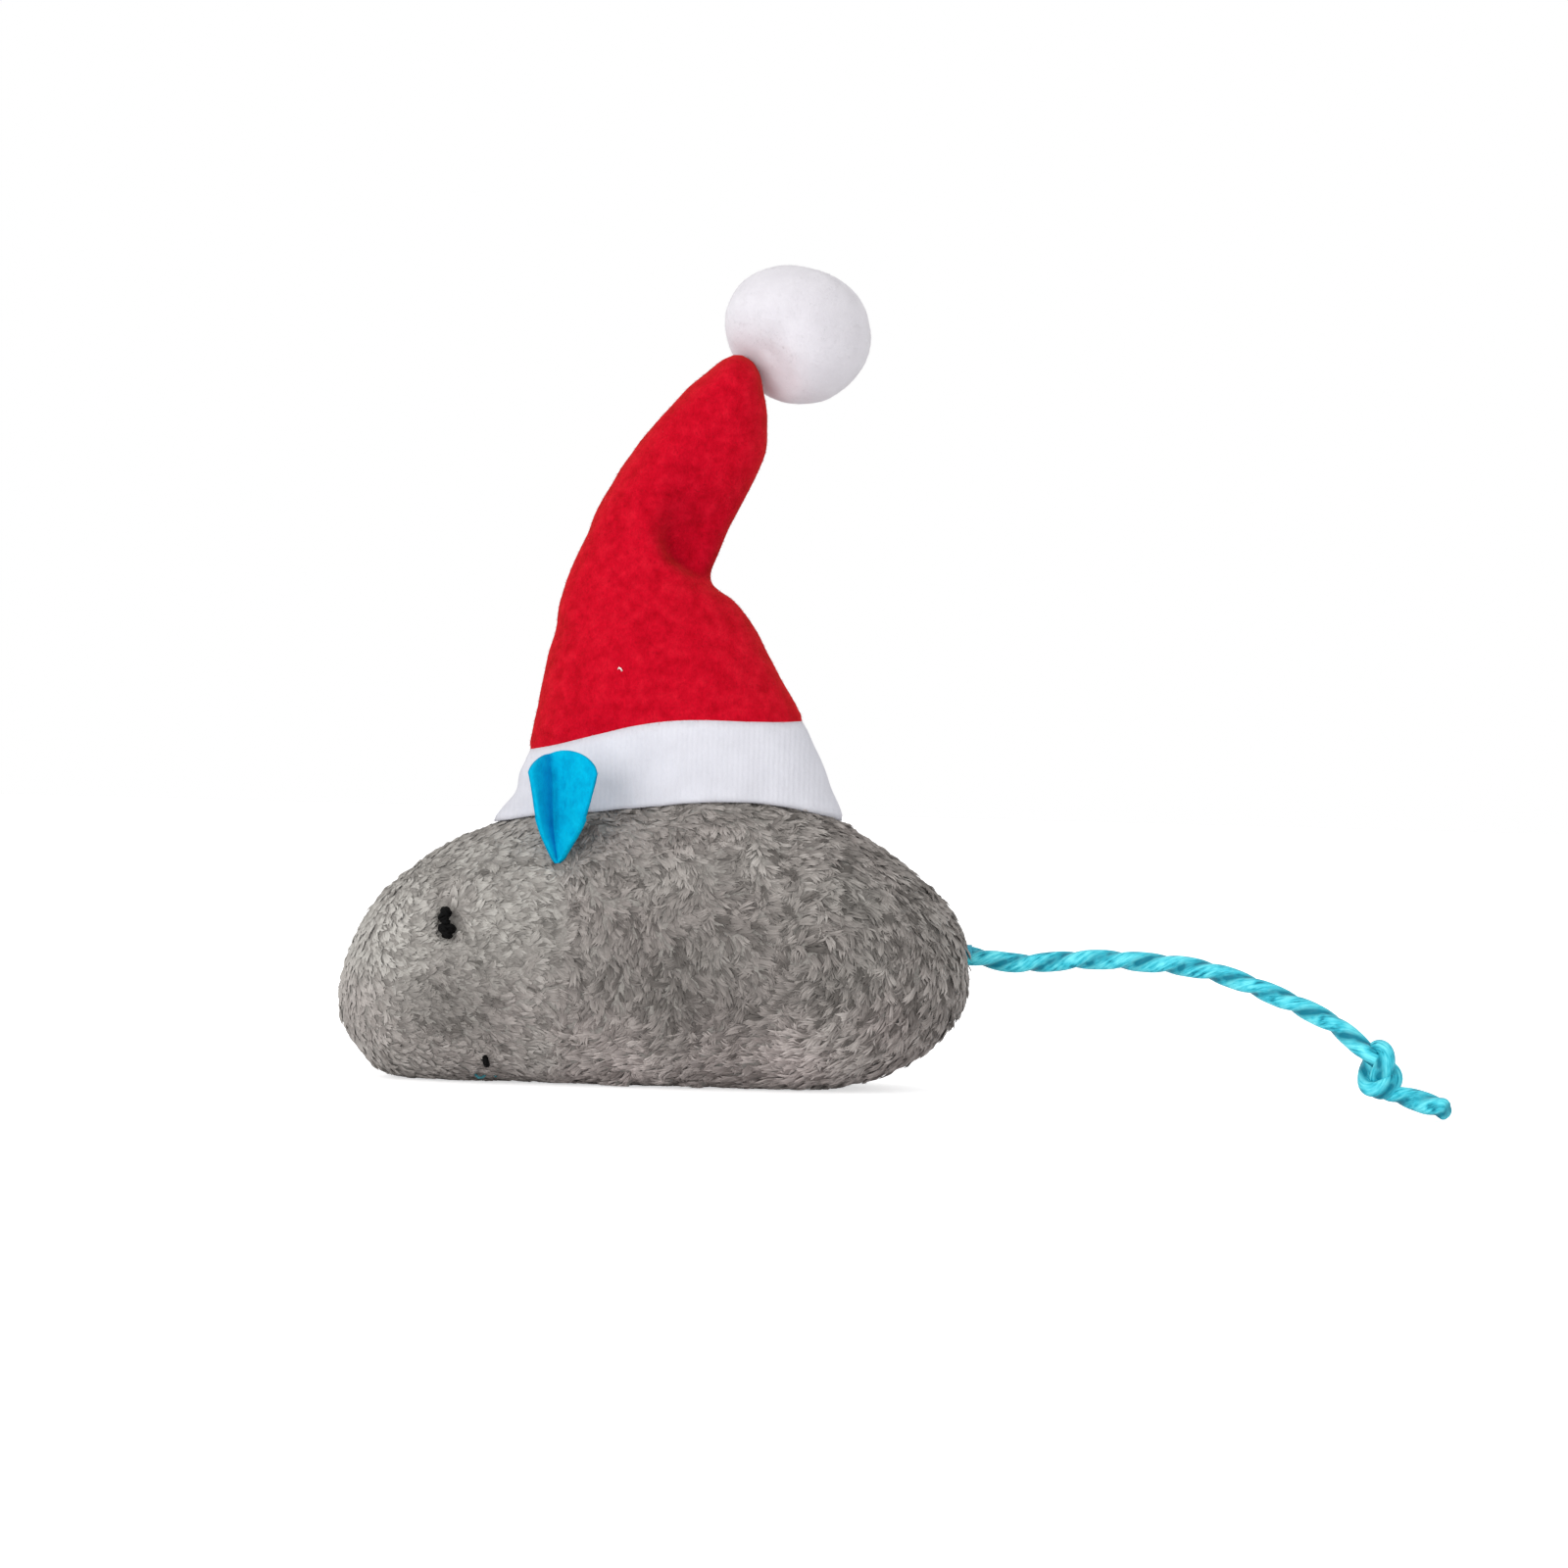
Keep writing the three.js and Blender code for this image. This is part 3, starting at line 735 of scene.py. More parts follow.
@dataclass
class Strands:
    """Grown blades, before they are divided into pieces."""

    points: np.ndarray
    triangles: np.ndarray
    spots: np.ndarray
    heights: np.ndarray
    shade: np.ndarray
    cast: np.ndarray
    ups: np.ndarray

    def piece(self, name: str, finish: StrandFinish,
              chosen: np.ndarray | slice = slice(None)) -> bpy.types.Object:
        """Joins blades into one piece with its attribute and its bake map.

        Args:
            name: the piece's name.
            finish: its finish.
            chosen: which blades belong to it.

        Returns:
            The piece.
        """
        points, ups = self.points[chosen], self.ups[chosen]
        count, size = points.shape[:2]
        faces = (self.triangles[None] + (np.arange(count) * size)[:, None, None]).reshape(-1, 3)
        mesh = bpy.data.meshes.new(name)
        mesh.vertices.add(count * size)
        mesh.vertices.foreach_set("co", points.ravel())
        mesh.loops.add(faces.size)
        mesh.loops.foreach_set("vertex_index", faces.ravel())
        mesh.polygons.add(len(faces))
        mesh.polygons.foreach_set("loop_start", np.arange(0, faces.size, 3))
        mesh.polygons.foreach_set("use_smooth", np.ones(len(faces), bool))
        mesh.update(calc_edges=True)
        if ups.any():
            own = values_of(mesh.vertex_normals, "vector").reshape(count, size, 3)
            soft = unit(own * 0.5 + ups[:, None]).reshape(-1, 3)
            mesh.normals_split_custom_set_from_vertices(soft.tolist())
        colours = np.ones((count, size, 4), np.float32)
        colours[:, :, 0], colours[:, :, 2] = self.shade[chosen][:, None], self.cast[chosen][:, None]
        colours[:, :, 1] = self.heights[None]
        layer = mesh.color_attributes.new(Nap.ATTRIBUTE, "FLOAT_COLOR", "POINT")
        layer.data.foreach_set("color", colours.ravel())
        cells = math.ceil(math.sqrt(count))
        cell = np.stack(np.divmod(np.arange(count), cells)[::-1], axis=1)[:, None, None]
        spots = (cell + self.spots[None]) / cells
        mesh.uv_layers.new(name=Nap.UV_MAP).data.foreach_set("uv", spots.ravel())
        return new_object(name, mesh, finish)


@dataclass
class PlushBody:
    """The stuffed body: a dimpled and seamed skin under a combed pile of tufts."""

    voxel: float = 0.9 * MM
    inset: float = 0.45 * MM
    smoothing: int = 12
    dimple_depth: float = 0.4 * MM
    dimple_radius: float = 3.6 * MM
    deepest: float = 1.15 * MM
    cover: float = 0.25 * MM
    dart_depth: float = 0.9 * MM
    dart_width: float = 1.1 * MM
    head_end: float = -14.5 * MM
    rump_start: float = 20.0 * MM
    nose_end: float = -43.0 * MM
    floor: float = 0.15 * MM
    knot_clear: float = 1.5 * MM
    tail_clear: float = 2.7 * MM
    pile: Nap = field(default_factory=lambda: Nap(
        per_mm2=7.0, length=2.35 * MM, width=0.34 * MM, thin=0.5, rise=26, droop=-12, spread=20, stray=8,
        curl=56, locks_per_mm2=1.25, gather=0.65, uneven=0.18, mottle=0.16, own_mottle=0.25, seed=11,
        soften=0.6, bends=(0.33, 0.68)))
    # Soft patches of the pile: place along and up the toy and size in millimetres, and change of shade. They
    # paint light on the nose and belly, painted shade on the flank and rump, painted shadow in the dimple
    # above the eye and beside the ear, and a darker patch below the eye
    patches: tuple[tuple[float, float, float, float], ...] = (
        (-48, 22, 12, 0.26), (-31, 11, 8, -0.42), (5, 15, 15, -0.3), (34, 20, 13, -0.22), (0, 2, 9, 0.34),
        (25, 2, 9, 0.32), (-33, 31.6, 2.2, -0.26), (-9.8, 41, 1.3, -0.5), (-11.2, 38.6, 1.3, -0.5))
    panels: tuple[str, ...] = ("side_panel_left", "side_panel_right", "belly_panel")
    fillings: tuple[str, ...] = ("stuffing", "catnip_pouch", "tail_anchor")
    bands: tuple[tuple[str, float], ...] = (
        ("head", -24 * MM), ("shoulder", 0.5 * MM), ("flank", 25 * MM), ("rump", 1.0))

    def fused(self) -> bmesh.types.BMesh:
        """Joins the panels and what fills them into one closed form, without the hollows in it.

        Returns:
            The outer surface of the form.
        """
        shape = bmesh.new()
        for node in self.panels + self.fillings:
            shape.from_mesh(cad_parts[node].data)
        bmesh.ops.remove_doubles(shape, verts=shape.verts[:], dist=1e-6)
        piece = shaped("fusing", shape)
        remesh = piece.modifiers.new("voxels", "REMESH")
        remesh.mode, remesh.voxel_size = "VOXEL", self.voxel
        shape = bmesh.new()
        shape.from_object(piece, bpy.context.evaluated_depsgraph_get())
        bpy.data.objects.remove(piece)
        reached, front = set(), [max(shape.verts, key=lambda vertex: vertex.co.z)]
        while front:
            vertex = front.pop()
            if vertex not in reached:
                reached.add(vertex)
                front.extend(edge.other_vert(vertex) for edge in vertex.link_edges)
        hollows = [vertex for vertex in shape.verts if vertex not in reached]
        bmesh.ops.delete(shape, geom=hollows, context="VERTS")
        return shape

    def sculpt(self, shape: bmesh.types.BMesh) -> None:
        """Draws the skin in below the tips of the pile, then dimples and creases it.

        Args:
            shape: the skin.
        """
        for _ in range(self.smoothing):
            bmesh.ops.smooth_vert(shape, verts=shape.verts[:], factor=0.5, use_axis_x=True, use_axis_y=True,
                                  use_axis_z=True)
        shape.normal_update()
        eyes = [side.middle("eye") for side in Side]
        dart_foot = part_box("ear_left")[0].z
        filling = tree_of(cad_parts["stuffing"])
        for vertex in shape.verts:
            place = vertex.co.copy()
            sink = self.inset
            for eye in eyes:
                sink += self.dimple_depth * math.exp(-((place - eye).length / self.dimple_radius) ** 2)
            off = abs(place.x - self.head_end) / self.dart_width
            reach = ease((place.z - 18 * MM) / (8 * MM)) * ease((dart_foot + 6 * MM - place.z) / (4 * MM))
            sink += self.dart_depth * math.exp(-off ** 2) * reach + 0.35 * MM * noise.noise(place / (13 * MM))
            vertex.co = place - vertex.normal * min(sink, self.deepest)
            spot, normal, _, _ = filling.find_nearest(vertex.co)
            vertex.co += vertex.normal * max(0.0, self.cover - (vertex.co - spot).dot(normal))
            vertex.co.z = max(vertex.co.z, self.floor)

    def comb(self, places: np.ndarray, normals: np.ndarray) -> np.ndarray:
        """Direction that the pile lies in: back over the head, swirled on the flanks, round the rump.

        Args:
            places: roots of the locks.
            normals: the skin's normals there.

        Returns:
            One direction for each root.
        """
        x, z = places[:, 0], places[:, 2]
        head = fading(x, self.head_end, 0.8 * MM)
        rump = (1 - head) * fading(x, self.rump_start, -4 * MM)
        low = (1 - head - rump) * fading(z, 11 * MM, 2.5 * MM)
        flank = 1 - head - rump - low
        across, up = x - 24 * MM, z - 21 * MM
        around = np.stack([up, 0 * x, -across], axis=1) / np.hypot(across, up)[:, None]
        ways = (head[:, None] * (1, 0, -0.12) + low[:, None] * (-1, 0, -0.12) + rump[:, None] * around
                + flank[:, None] * (0.5, 0, -0.6))
        ways[:, 2] -= 2.5 * ((-normals[:, 0] - 0.45) / 0.4).clip(0, 1)
        ways[np.abs(normals[:, 2]) > 0.8, 1] += 0.25
        swirl = cloudy(places, 6 * MM) * (135 - 115 * head - 105 * low - 115 * rump)
        swirl += cloudy(places, 2.2 * MM, 5.0) * (50 - 22 * head - 28 * rump)
        for side in Side:
            above = np.array(side.middle("eye") + Vector((0, 0, 2.5 * MM)))
            swirl += 70 * np.exp(-(np.linalg.norm(places - above, axis=1) / (4.5 * MM)) ** 2)
        return turned(flattened(ways, normals), normals, swirl)

    def covered(self, places: np.ndarray, normals: np.ndarray) -> np.ndarray:
        """Which roots get a tuft: none deep under the hat, at the eyes' knots or where the tail comes out.

        Args:
            places: roots of the tufts.
            normals: the skin's normals there.

        Returns:
            True for each root that is kept.
        """
        low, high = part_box("hat_brim")
        middle, half = (low + high) / 2, (high - low) / 2
        away = ((places[:, 0] - middle.x) / (0.86 * half.x)) ** 2 + (places[:, 1] / (0.8 * half.y)) ** 2
        kept = (away > 1) | (normals[:, 2] < 0.2)
        for bare, stretch, clear in ((Side.LEFT.middle("eye"), (1.0, 1.0, 1.7), self.knot_clear),
                                     (Side.RIGHT.middle("eye"), (1.0, 1.0, 1.7), self.knot_clear),
                                     (CordTail.exit, (2.5, 1.0, 1.0), self.tail_clear)):
            kept &= np.linalg.norm((places - np.array(bare)) / stretch, axis=1) > clear
        return kept

    def hue(self, places: np.ndarray) -> np.ndarray:
        """Share of the warm cast at each root: more toward the belly and rump."""
        low, head = (1 - places[:, 2] / (22 * MM)).clip(0, 1), fading(places[:, 0], self.head_end, 0.7 * MM)
        return (0.3 * (1 - head) + 0.55 * low + 0.3 * cloudy(places, 9 * MM, 2.0)).clip(0, 1)

    def length_factor(self, places: np.ndarray) -> np.ndarray:
        """Length of the pile at each root: shorter on the head, longer on the rump and belly."""
        x, z = places[:, 0], places[:, 2]
        head, rump = fading(x, self.head_end, 2 * MM), fading(x, self.rump_start, -5 * MM)
        return 1 - 0.2 * head + 0.2 * rump + 0.1 * fading(z, 10 * MM, 2.5 * MM)

    def shade(self, strands: Strands) -> None:
        """Makes the pile paler or darker in soft patches, among them painted light and shade, and clumps its
        shades.

        Args:
            strands: the tufts, whose shades are changed.
        """
        places = strands.points[:, 0]
        x, z = places[:, 0], places[:, 2]
        head, rump = fading(x, self.head_end, 0.7 * MM), fading(x, self.rump_start, -4 * MM)
        nose, low = fading(x, self.nose_end, 1.5 * MM), fading(z, 7 * MM, 1.5 * MM)
        clumps = (0.05 - 0.5 * cloudy(places, 1.1 * MM, 9.0).clip(0, None)) * (1 - 0.6 * nose)
        # Painted light lifts the lower band toward the belly, which faces down; the head is paler
        shift = 0.1 * head + 0.18 * low - 0.07 + clumps + 0.1 * cloudy(places, 7 * MM, 4.0)
        for along, up, size, change in self.patches:
            shift += change * np.exp(-(np.hypot(x / MM - along, z / MM - up) / size) ** 2)
        contrast = 1 - 0.2 * head + 0.5 * rump - 0.4 * nose
        strands.shade[:] = (0.5 + (strands.shade - 0.5) * contrast + shift).clip(0, 1)

    def build(self) -> bpy.types.Object:
        """Makes the skin and the pieces of the pile.

        Returns:
            The skin, for what rests on it.
        """
        shape = self.fused()
        self.sculpt(shape)
        skin = seat(shaped("plush_skin", shape, BACKING), "root", "grey_plush", *self.panels)
        strands = self.pile.grow(Ground.of(skin), self.comb, self.covered, self.hue, self.length_factor,
                                 self.floor)
        self.shade(strands)
        x, y = strands.points[:, 0, 0], strands.points[:, 0, 1]
        start = -1.0
        for band, end in self.bands:
            for side in Side:
                chosen = (x >= start) & (x < end) & ((y < 0) == (side is Side.LEFT))
                seat(strands.piece(f"pile_{band}_{side.label}", FUR, chosen), "root", "grey_plush")
            start = end
        return skin


@dataclass(frozen=True)
class HatRing:
    """One cross section of the hat: its middle, half sizes and tilt, in millimetres and degrees."""

    x: float
    z: float
    half_length: float
    half_depth: float
    tilt: float


@dataclass
class FeltHat:
    """The hat: a fleece brim that rests on the fur, and a felt cone that falls back at a crease."""

    # Attribute with the painted shade in the hat's dent and along the ears' fold valleys
    FOLD = "fold"

    rings: tuple[HatRing, ...] = (
        HatRing(1.2, 37.5, 30.2, 15.0, 1), HatRing(2.05, 42.8, 27.2, 13.2, 1.3),
        HatRing(2.6, 46.1, 24.9, 12.2, 1.6), HatRing(2.2, 49.6, 24.0, 11.8, 2.6),
        HatRing(0.95, 55.2, 21.8, 11.0, 7.4), HatRing(-0.4, 66.5, 17.9, 9.6, 3.4),
        HatRing(-1.1, 72.1, 15.75, 8.7, 2), HatRing(-2.45, 76.4, 13.75, 7.8, 0.6),
        HatRing(-3.4, 80.4, 11.1, 7.0, -5.2), HatRing(-2.0, 85.1, 10.5, 6.6, -7.4),
        HatRing(1.6, 92.8, 10.1, 6.6, -12), HatRing(6.0, 100.7, 9.1, 6.2, -13.3),
        HatRing(9.0, 107.0, 7.1, 6.0, -17.7), HatRing(10.2, 111.2, 5.0, 5.4, -8),
        HatRing(10.9, 114.2, 2.7, 3.4, -5), HatRing(10.8, 115.4, 0.8, 1.0, 0))
    # The line that bounds the dent, from the notch up the cone, along and up in millimetres
    crease: tuple[tuple[float, float], ...] = (
        (10.5, 79.0), (7.5, 79.4), (4.9, 79.5), (2.6, 80.5), (-0.3, 82.8), (-2.2, 85.7), (-3.0, 88.5),
        (-3.4, 92.6), (-2.8, 97.3), (-0.6, 102.5), (3.0, 108.0), (7.0, 113.0))
    crease_steps: int = 80
    around: int = 112
    brim_rows: int = 18
    cone_rows: int = 80
    felt: float = 1.1 * MM
    fleece: float = 2.2 * MM
    brim_share: float = 4 / 15
    seam_rise: float = 0.0135
    tuck: float = 0.012
    hem_gap: float = 0.9 * MM
    least_reach: float = 0.1 * MM
    sharp_share: float = 0.42
    dent: float = 0.76
    lip: float = 0.35 * MM
    bend: tuple[str, Triple, Triple] = ("hat_tip", (-2.5 * MM, 0.0, 71.0 * MM), (0.5 * MM, 0.0, 91.0 * MM))
    nap: Nap = field(default_factory=lambda: Nap(
        per_mm2=6, length=0.7 * MM, width=0.07 * MM, rise=45, droop=8, spread=60, seed=21))
    fuzz: Nap = field(default_factory=lambda: Nap(
        per_mm2=8, length=0.6 * MM, width=0.06 * MM, rise=28, droop=6, spread=60, seed=22))

    def __post_init__(self) -> None:
        """Works out the places of the crease and the turns about the hat for one loop."""
        steps = [k / self.crease_steps for k in range(self.crease_steps + 1)]
        self.line = [Vector([along_values(axis, step) for axis in zip(*self.crease)]) * MM for step in steps]
        self.angles = [2 * math.pi * j / self.around for j in range(self.around)]

    def off_crease(self, place: Vector) -> tuple[float, float, float]:
        """Where a place lies about the line that bounds the dent.

        Args:
            place: a place on the hat.

        Returns:
            The share of the way up the line, the distance into the dent, and how soft the dent is there.
        """
        flat = place.xz
        gaps = [(flat - point).length for point in self.line]
        nearest = min(max(gaps.index(min(gaps)), 1), self.crease_steps - 1)
        onward = (self.line[nearest + 1] - self.line[nearest - 1]).normalized()
        off = flat - self.line[nearest]
        share = nearest / self.crease_steps
        return share, off.x * onward.y - off.y * onward.x, ease((share - 0.3) / 0.45)

    def pressed(self, place: Vector, right_edge: float) -> tuple[float, float]:
        """How far the dent flattens the cone at a place, and how far the lip beside it swells.

        The line that bounds the dent is sharp at the notch and soft up the cone, where the dent is shallow.

        Args:
            place: a place on the smooth hat.
            right_edge: how far toward the tail the cone reaches at this height.

        Returns:
            The share of the depth that is pressed away, and the swell in metres.
        """
        share, inward, soft = self.off_crease(place)
        rise = ease(inward / ((1.9 + 6.3 * soft) * MM))
        fade = math.exp(-max(inward, 0.0) / ((12 + 8 * soft) * MM))
        room = 0.35 + 0.65 * ease((right_edge - place.x) / (5 * MM))
        press = self.dent * rise * fade * room * (0.3 + 0.7 * (1 - soft)) * (1 - ease((share - 0.55) / 0.4))
        swell = 0.0
        if inward < 0 and share < self.sharp_share:
            swell = self.lip * math.exp(inward / (3 * MM)) * ease(-inward / (0.8 * MM))
            swell *= ease(abs(place.y) / (3 * MM)) * ease(share / 0.1)
        return press, swell

    def dent_shade(self, place: Vector) -> float:
        """How much painted shade darkens the felt in the dent, from 0 to 1, fading up the cone and to its
        edges.
        """
        share, inward, soft = self.off_crease(place)
        rise = ease(inward / ((1.0 + 7 * soft) * MM))
        return rise * math.exp(-(inward / (15 * MM)) ** 2) * (1 - ease((share - 0.55) / 0.45))

    def surface(self, share: float, angle: float, out: float = 0.0) -> Vector:
        """A place on the hat.

        Args:
            share: how far up the rings.
            angle: turn about the hat, 0 toward the tail.
            out: distance outside the surface.

        Returns:
            The place.
        """
        x, z, half_length, half_depth, tilt = (
            along_values([getattr(ring, key) for ring in self.rings], share)
            for key in ("x", "z", "half_length", "half_depth", "tilt"))
        tilt, middle = math.radians(tilt), Vector((x * MM, 0, z * MM))
        reach = max(half_length * MM + out, self.least_reach) * math.cos(angle)
        depth = max(half_depth * MM + out, self.least_reach) * math.sin(angle)
        place = Vector((x * MM + reach * math.cos(tilt), depth, z * MM + reach * math.sin(tilt)))
        lumps = 0.5 * MM * noise.noise(place / (11 * MM)) + 0.2 * MM * noise.noise(place / (4 * MM))
        place += (place - middle).normalized() * lumps
        press, swell = self.pressed(place, (x + half_length) * MM)
        place.y += math.copysign(swell, place.y) - place.y * press
        return place

    def seam_share(self, angle: float) -> float:
        """Share of the rings at which the brim meets the felt: higher at the middle of each side."""
        return self.brim_share + self.seam_rise * math.sin(angle) ** 4

    def hem_share(self, tree: BVHTree, angle: float) -> float:
        """How far down the brim goes before it rests on the fur.

        Args:
            tree: the skin, for distances.
            angle: turn about the hat.

        Returns:
            The share of the rings at which the brim ends.
        """
        low, high = 0.0, self.brim_share
        for _ in range(18):
            middle = (low + high) / 2
            place = self.surface(middle, angle)
            spot, normal, _, _ = tree.find_nearest(place)
            inside = (place - spot).dot(normal) < self.hem_gap
            low, high = (middle, high) if inside else (low, middle)
        return high

    def wall(self, name: str, finish: Finish, rows: int, ends: Sequence[tuple[float, float]],
             outs: Sequence[Callable[[float], float]]) -> bpy.types.Object:
        """Makes a closed wall of cloth about the hat.

        Args:
            name: the piece's name.
            finish: its finish.
            rows: rows of faces from its bottom to its top.
            ends: shares of the rings at its bottom and top, for each turn about the hat.
            outs: how far its outer and its inner face stand out at a share of the way up.

        Returns:
            The piece.
        """
        shares = [k / rows for k in range(rows + 1)]
        outer, inner = (
            [[self.surface(low + (high - low) * share, angle, out(share))
              for angle, (low, high) in zip(self.angles, ends)] for share in shares]
            for out in outs)
        return bridged(name, outer + inner[::-1], finish, ring=True)

    def brim(self, skin: bpy.types.Object) -> bpy.types.Object:
        """Makes the fleece band, rounded at its edges.

        Args:
            skin: the body's skin, which it rests on.

        Returns:
            The brim.
        """
        def bulge(share: float) -> float:
            """Stands out over the band's middle."""
            return 0.5 * MM * math.sqrt(max(0.0, 1 - (2 * share - 1) ** 6)) - 0.35 * MM

        tree = tree_of(skin)
        ends = [(self.hem_share(tree, angle), self.seam_share(angle)) for angle in self.angles]
        return self.wall("hat_brim_fleece", BRIM_FLEECE, self.brim_rows, ends,
                         (bulge, lambda share: -self.fleece))

    def cone(self) -> bpy.types.Object:
        """Makes the felt cone from its hem, tucked behind the brim, to its tip in the pompom.

        Returns:
            The cone.
        """
        def tucked(share: float) -> float:
            """Draws the hem in behind the brim."""
            return -0.8 * MM * (1 - ease(share / 0.024))

        ends = [(self.seam_share(angle) - self.tuck, 1.0) for angle in self.angles]
        cone = self.wall("hat_felt", RED_FELT, self.cone_rows, ends,
                         (tucked, lambda share: -self.felt + tucked(share)))
        # Painted shade in the dent, kept as an attribute for the felt's finish
        fold_shades = [self.dent_shade(vertex.co) for vertex in cone.data.vertices]
        cone.data.attributes.new(self.FOLD, "FLOAT", "POINT").data.foreach_set("value", fold_shades)
        return cone

    def outside(self, places: np.ndarray, normals: np.ndarray) -> np.ndarray:
        """Which places lie on the outer face of a wall.

        Args:
            places: the places.
            normals: the wall's normals there.

        Returns:
            True for each place that does.
        """
        heights, middles = ([getattr(ring, key) for ring in self.rings] for key in "zx")
        off = places[:, 0] - np.interp(places[:, 2] / MM, heights, middles) * MM
        return off * normals[:, 0] + places[:, 1] * normals[:, 1] > 0

    def build(self, skin: bpy.types.Object) -> bpy.types.Object:
        """Makes the brim, the cone and their nap.

        Args:
            skin: the body's skin.

        Returns:
            The cone.
        """
        def down(places: np.ndarray, normals: np.ndarray) -> np.ndarray:
            """Lets the fibres hang."""
            return np.tile([0.15, 0.0, -1.0], (len(places), 1))

        brim = seat(self.brim(skin), "root", "white_fleece", "hat_brim")
        fuzz = self.fuzz.grow(Ground.of(brim), down, self.outside)
        seat(fuzz.piece("hat_brim_fuzz", BRIM_NAP), "root", "white_fleece")
        cone = self.cone()
        fibres = self.nap.grow(Ground.of(cone), down, self.outside)
        # Painted shade in the dent darkens the nap there too
        fold_shades = np.array([self.dent_shade(Vector(root)) for root in fibres.points[:, 0]])
        fibres.shade = (fibres.shade - 0.4 * fold_shades).clip(0, 1)
        seat(cone, "root", "red_felt", "hat_cone", "hat_tip", over=self.bend)
        seat(fibres.piece("hat_felt_nap", RED_NAP), "root", "red_felt", over=self.bend)
        return cone


@dataclass
class FleecePompom:
    """The fleece ball on the hat's tip, gathered at its neck."""

    shrink: float = 0.65 * MM
    shift: Triple = (0.0, 3.0 * MM, -0.3 * MM)
    taller: float = 1.05
    bulge: float = 0.13
    bulge_way: Triple = (-0.78, 0.0, 0.62)
    bulge_width: float = 0.75
    dent: float = 0.28
    dent_way: Triple = (-0.62, -0.55, -0.56)
    dent_width: float = 0.62
    filling: float = 0.82
    fuzz: Nap = field(default_factory=lambda: Nap(
        per_mm2=11, length=0.8 * MM, width=0.06 * MM, rise=22, droop=4, spread=80, seed=31))

    def ball(self, name: str, scale: float, finish: Finish) -> bpy.types.Object:
        """Makes a ball that is pressed in where the felt tip lies against it.

        Args:
            name: the piece's name.
            scale: its size as a share of the whole ball.
            finish: its finish.

        Returns:
            The ball.
        """
        low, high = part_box("pompom_cover")
        middle, half = (low + high) / 2 + Vector(self.shift), (high - low) / 2
        shape = bmesh.new()
        bmesh.ops.create_icosphere(shape, subdivisions=5, radius=1.0)
        for vertex in shape.verts:
            way = vertex.co.normalized()
            uneven = 0.025 * noise.noise(way * 1.6 + Vector((3, 1, 2))) + 0.012 * noise.noise(way * 4)
            dent = self.dent * math.exp(-((way - Vector(self.dent_way)).length / self.dent_width) ** 3)
            bulge = self.bulge * math.exp(-((way - Vector(self.bulge_way)).length / self.bulge_width) ** 2)
            reach = Vector([share * (size - self.shrink) for share, size in zip(way, half)])
            reach.z *= self.taller
            vertex.co = reach * (1 + uneven - dent + bulge) * scale + middle
        return shaped(name, shape, finish)

    def build(self) -> None:
        """Makes the ball, its filling and its fuzz."""
        def whirl(places: np.ndarray, normals: np.ndarray) -> np.ndarray:
            """Fibres brushed every way."""
            ways = np.stack([cloudy(places, 3 * MM, seed) for seed in (1.0, 2.0, 3.0)], axis=1)
            return ways + (0, 0, -0.15)

        ball = seat(self.ball("pompom_ball", 1.0, POMPOM_FLEECE), "hat_tip", "white_fleece", "pompom_cover")
        seat(self.ball("pompom_fibre", self.filling, FIBRE), "hat_tip", "white_fibre", "pompom_filling")
        fuzz = self.fuzz.grow(Ground.of(ball), whirl)
        seat(fuzz.piece("pompom_fuzz", POMPOM_NAP), "hat_tip", "white_fleece")


